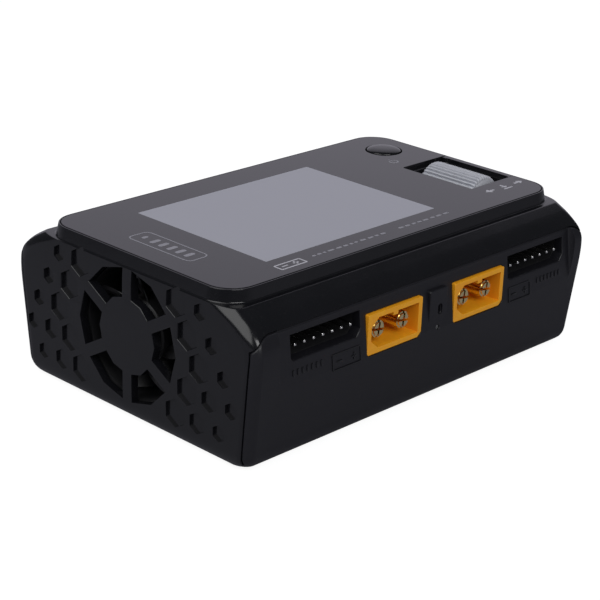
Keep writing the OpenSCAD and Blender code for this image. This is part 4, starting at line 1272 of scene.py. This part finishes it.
blade_root, bore = HUB_RADIUS - 0.5, 0.77
front, back = rotor_low.x, rotor_high.x
blade = loft("blade", [blade_section(blade_root + (blade_tip - blade_root) * k / 8) for k in range(9)])
cup = turned("hub cup", [
    (bore, front + 0.9), (HUB_RADIUS - 0.9, front + 0.9), (HUB_RADIUS - 0.9, back), (HUB_RADIUS - 0.1, back),
    (HUB_RADIUS, back - 0.1), (HUB_RADIUS, front + 0.5), (HUB_RADIUS - 0.35, front + 0.12),
    (HUB_RADIUS - 0.8, front), (3.0, front), (bore, front)], 64, about_fan)
rotor = copies_round("bladed_rotor", blade, BLADES, (1, 0, 0), fan_centre, FINISH["black_plastic"], cup.data)
bpy.data.objects.remove(cup)
stand_for(smoothed(rotor), "fan_rotor")

# %% [markdown]
# ## Softening the small parts
#
# The connector housings, pins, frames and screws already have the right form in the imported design, but every
# edge on them is perfectly sharp. A real moulding or a turned pin catches a thin line of light on each edge.
# A copy of each part is merged, its flat faces are joined, and its sharp edges get a narrow bevel.

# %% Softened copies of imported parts
SHARP_FROM = 32


def softened(node, width):
    """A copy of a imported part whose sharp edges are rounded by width, in millimetres."""
    work = bmesh.new()
    work.from_mesh(frame["nodes"][node].data)
    bmesh.ops.remove_doubles(work, verts=work.verts, dist=1e-6)
    bmesh.ops.dissolve_limit(work, angle_limit=math.radians(1.0), verts=work.verts, edges=work.edges,
                             delimit={"NORMAL"})
    sharp = [edge for edge in work.edges
             if len(edge.link_faces) == 2 and edge.calc_face_angle(0) > math.radians(SHARP_FROM)]
    bmesh.ops.bevel(work, geom=sharp, offset=width * MM, offset_type="OFFSET", segments=2, profile=0.6,
                    affect="EDGES", clamp_overlap=True)
    mesh = bpy.data.meshes.new(node + "_soft")
    work.to_mesh(mesh)
    work.free()
    piece = bpy.data.objects.new(node + "_soft", mesh)
    scene.collection.objects.link(piece)
    return stand_for(smoothed(piece, 40), node)


SOFT_EDGES = {
    "output_left": 0.14, "output_right": 0.14, "input_plug": 0.14, "output_pins_left": 0.1,
    "output_pins_right": 0.1, "input_pins": 0.1, "balance_socket_left": 0.1, "balance_socket_right": 0.1,
    "usb_shell": 0.12, "usb_tongue": 0.1, "fan_frame": 0.15, "wheel_carrier": 0.12, "wheel_shaft": 0.12,
    "case_screws": 0.1, "feet": 0.25, "display_tray": 0.15, "button_switch": 0.15, "wheel_switch": 0.15,
    "inductors": 0.5, "capacitors": 0.5, "power_chips": 0.12, "processor": 0.12, "buzzer": 0.25,
    "fan_socket": 0.15, "board_screws": 0.12, "display_screws": 0.12, "heatsink": 0.15}
for node, width in SOFT_EDGES.items():
    softened(node, width)

# %% [markdown]
# ### Balance pins
#
# Each balance socket holds seven square pins with chamfered tips, half a millimetre and a bit across. One pin,
# with a short upright tail at its back end, is copied along the row, and the imported pins are hidden.

# %% Balance pins
PIN_PITCH = 2.5


def pin_row(name, node):
    low, high = (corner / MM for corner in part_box(node))
    half, foot = 0.32, 0.64
    middle_x = (low.x + high.x) / 2
    z = low.z + half
    sections = [(low.y, half - 0.16), (low.y + 0.1, half - 0.07), (low.y + 0.28, half), (high.y, half)]
    pin = loft("pin", [[(x, y, v) for x, v in rounded_box(size, size, 0.05, 2)] for y, size in sections])
    tail = loft("tail", [[(x, y, v) for x, y in rounded_box(half, foot / 2, 0.05, 2, (0, high.y - foot / 2))]
                         for v in (-half, high.z - z)])
    combine(pin, [tail], "UNION")
    spots = [((middle_x + (k - 3) * PIN_PITCH, 0, z), (0, 0, 0), (1, 1, 1)) for k in range(7)]
    row = copies_at(name, pin, spots, FINISH["tinned"])
    return stand_for(smoothed(row), node)


for side in ("left", "right"):
    pin_row(f"balance_pin_row_{side}", f"balance_pins_{side}")

# %% [markdown]
# ## The size of the visual model
#
# The visual model's box is set against the box of the imported design, and its triangles are counted.

# %% Sizes and the end
low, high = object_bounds()
growth = [round(max(cad_low[i] - low[i], high[i] - cad_high[i]) / MM, 3) for i in range(3)]
print("visual box past the packed box, mm:", growth)
shown = [thing for thing in scene.objects if thing.type == "MESH" and not thing.hide_render]
print("triangles:", sum(len(face.vertices) - 2 for thing in shown for face in thing.data.polygons))
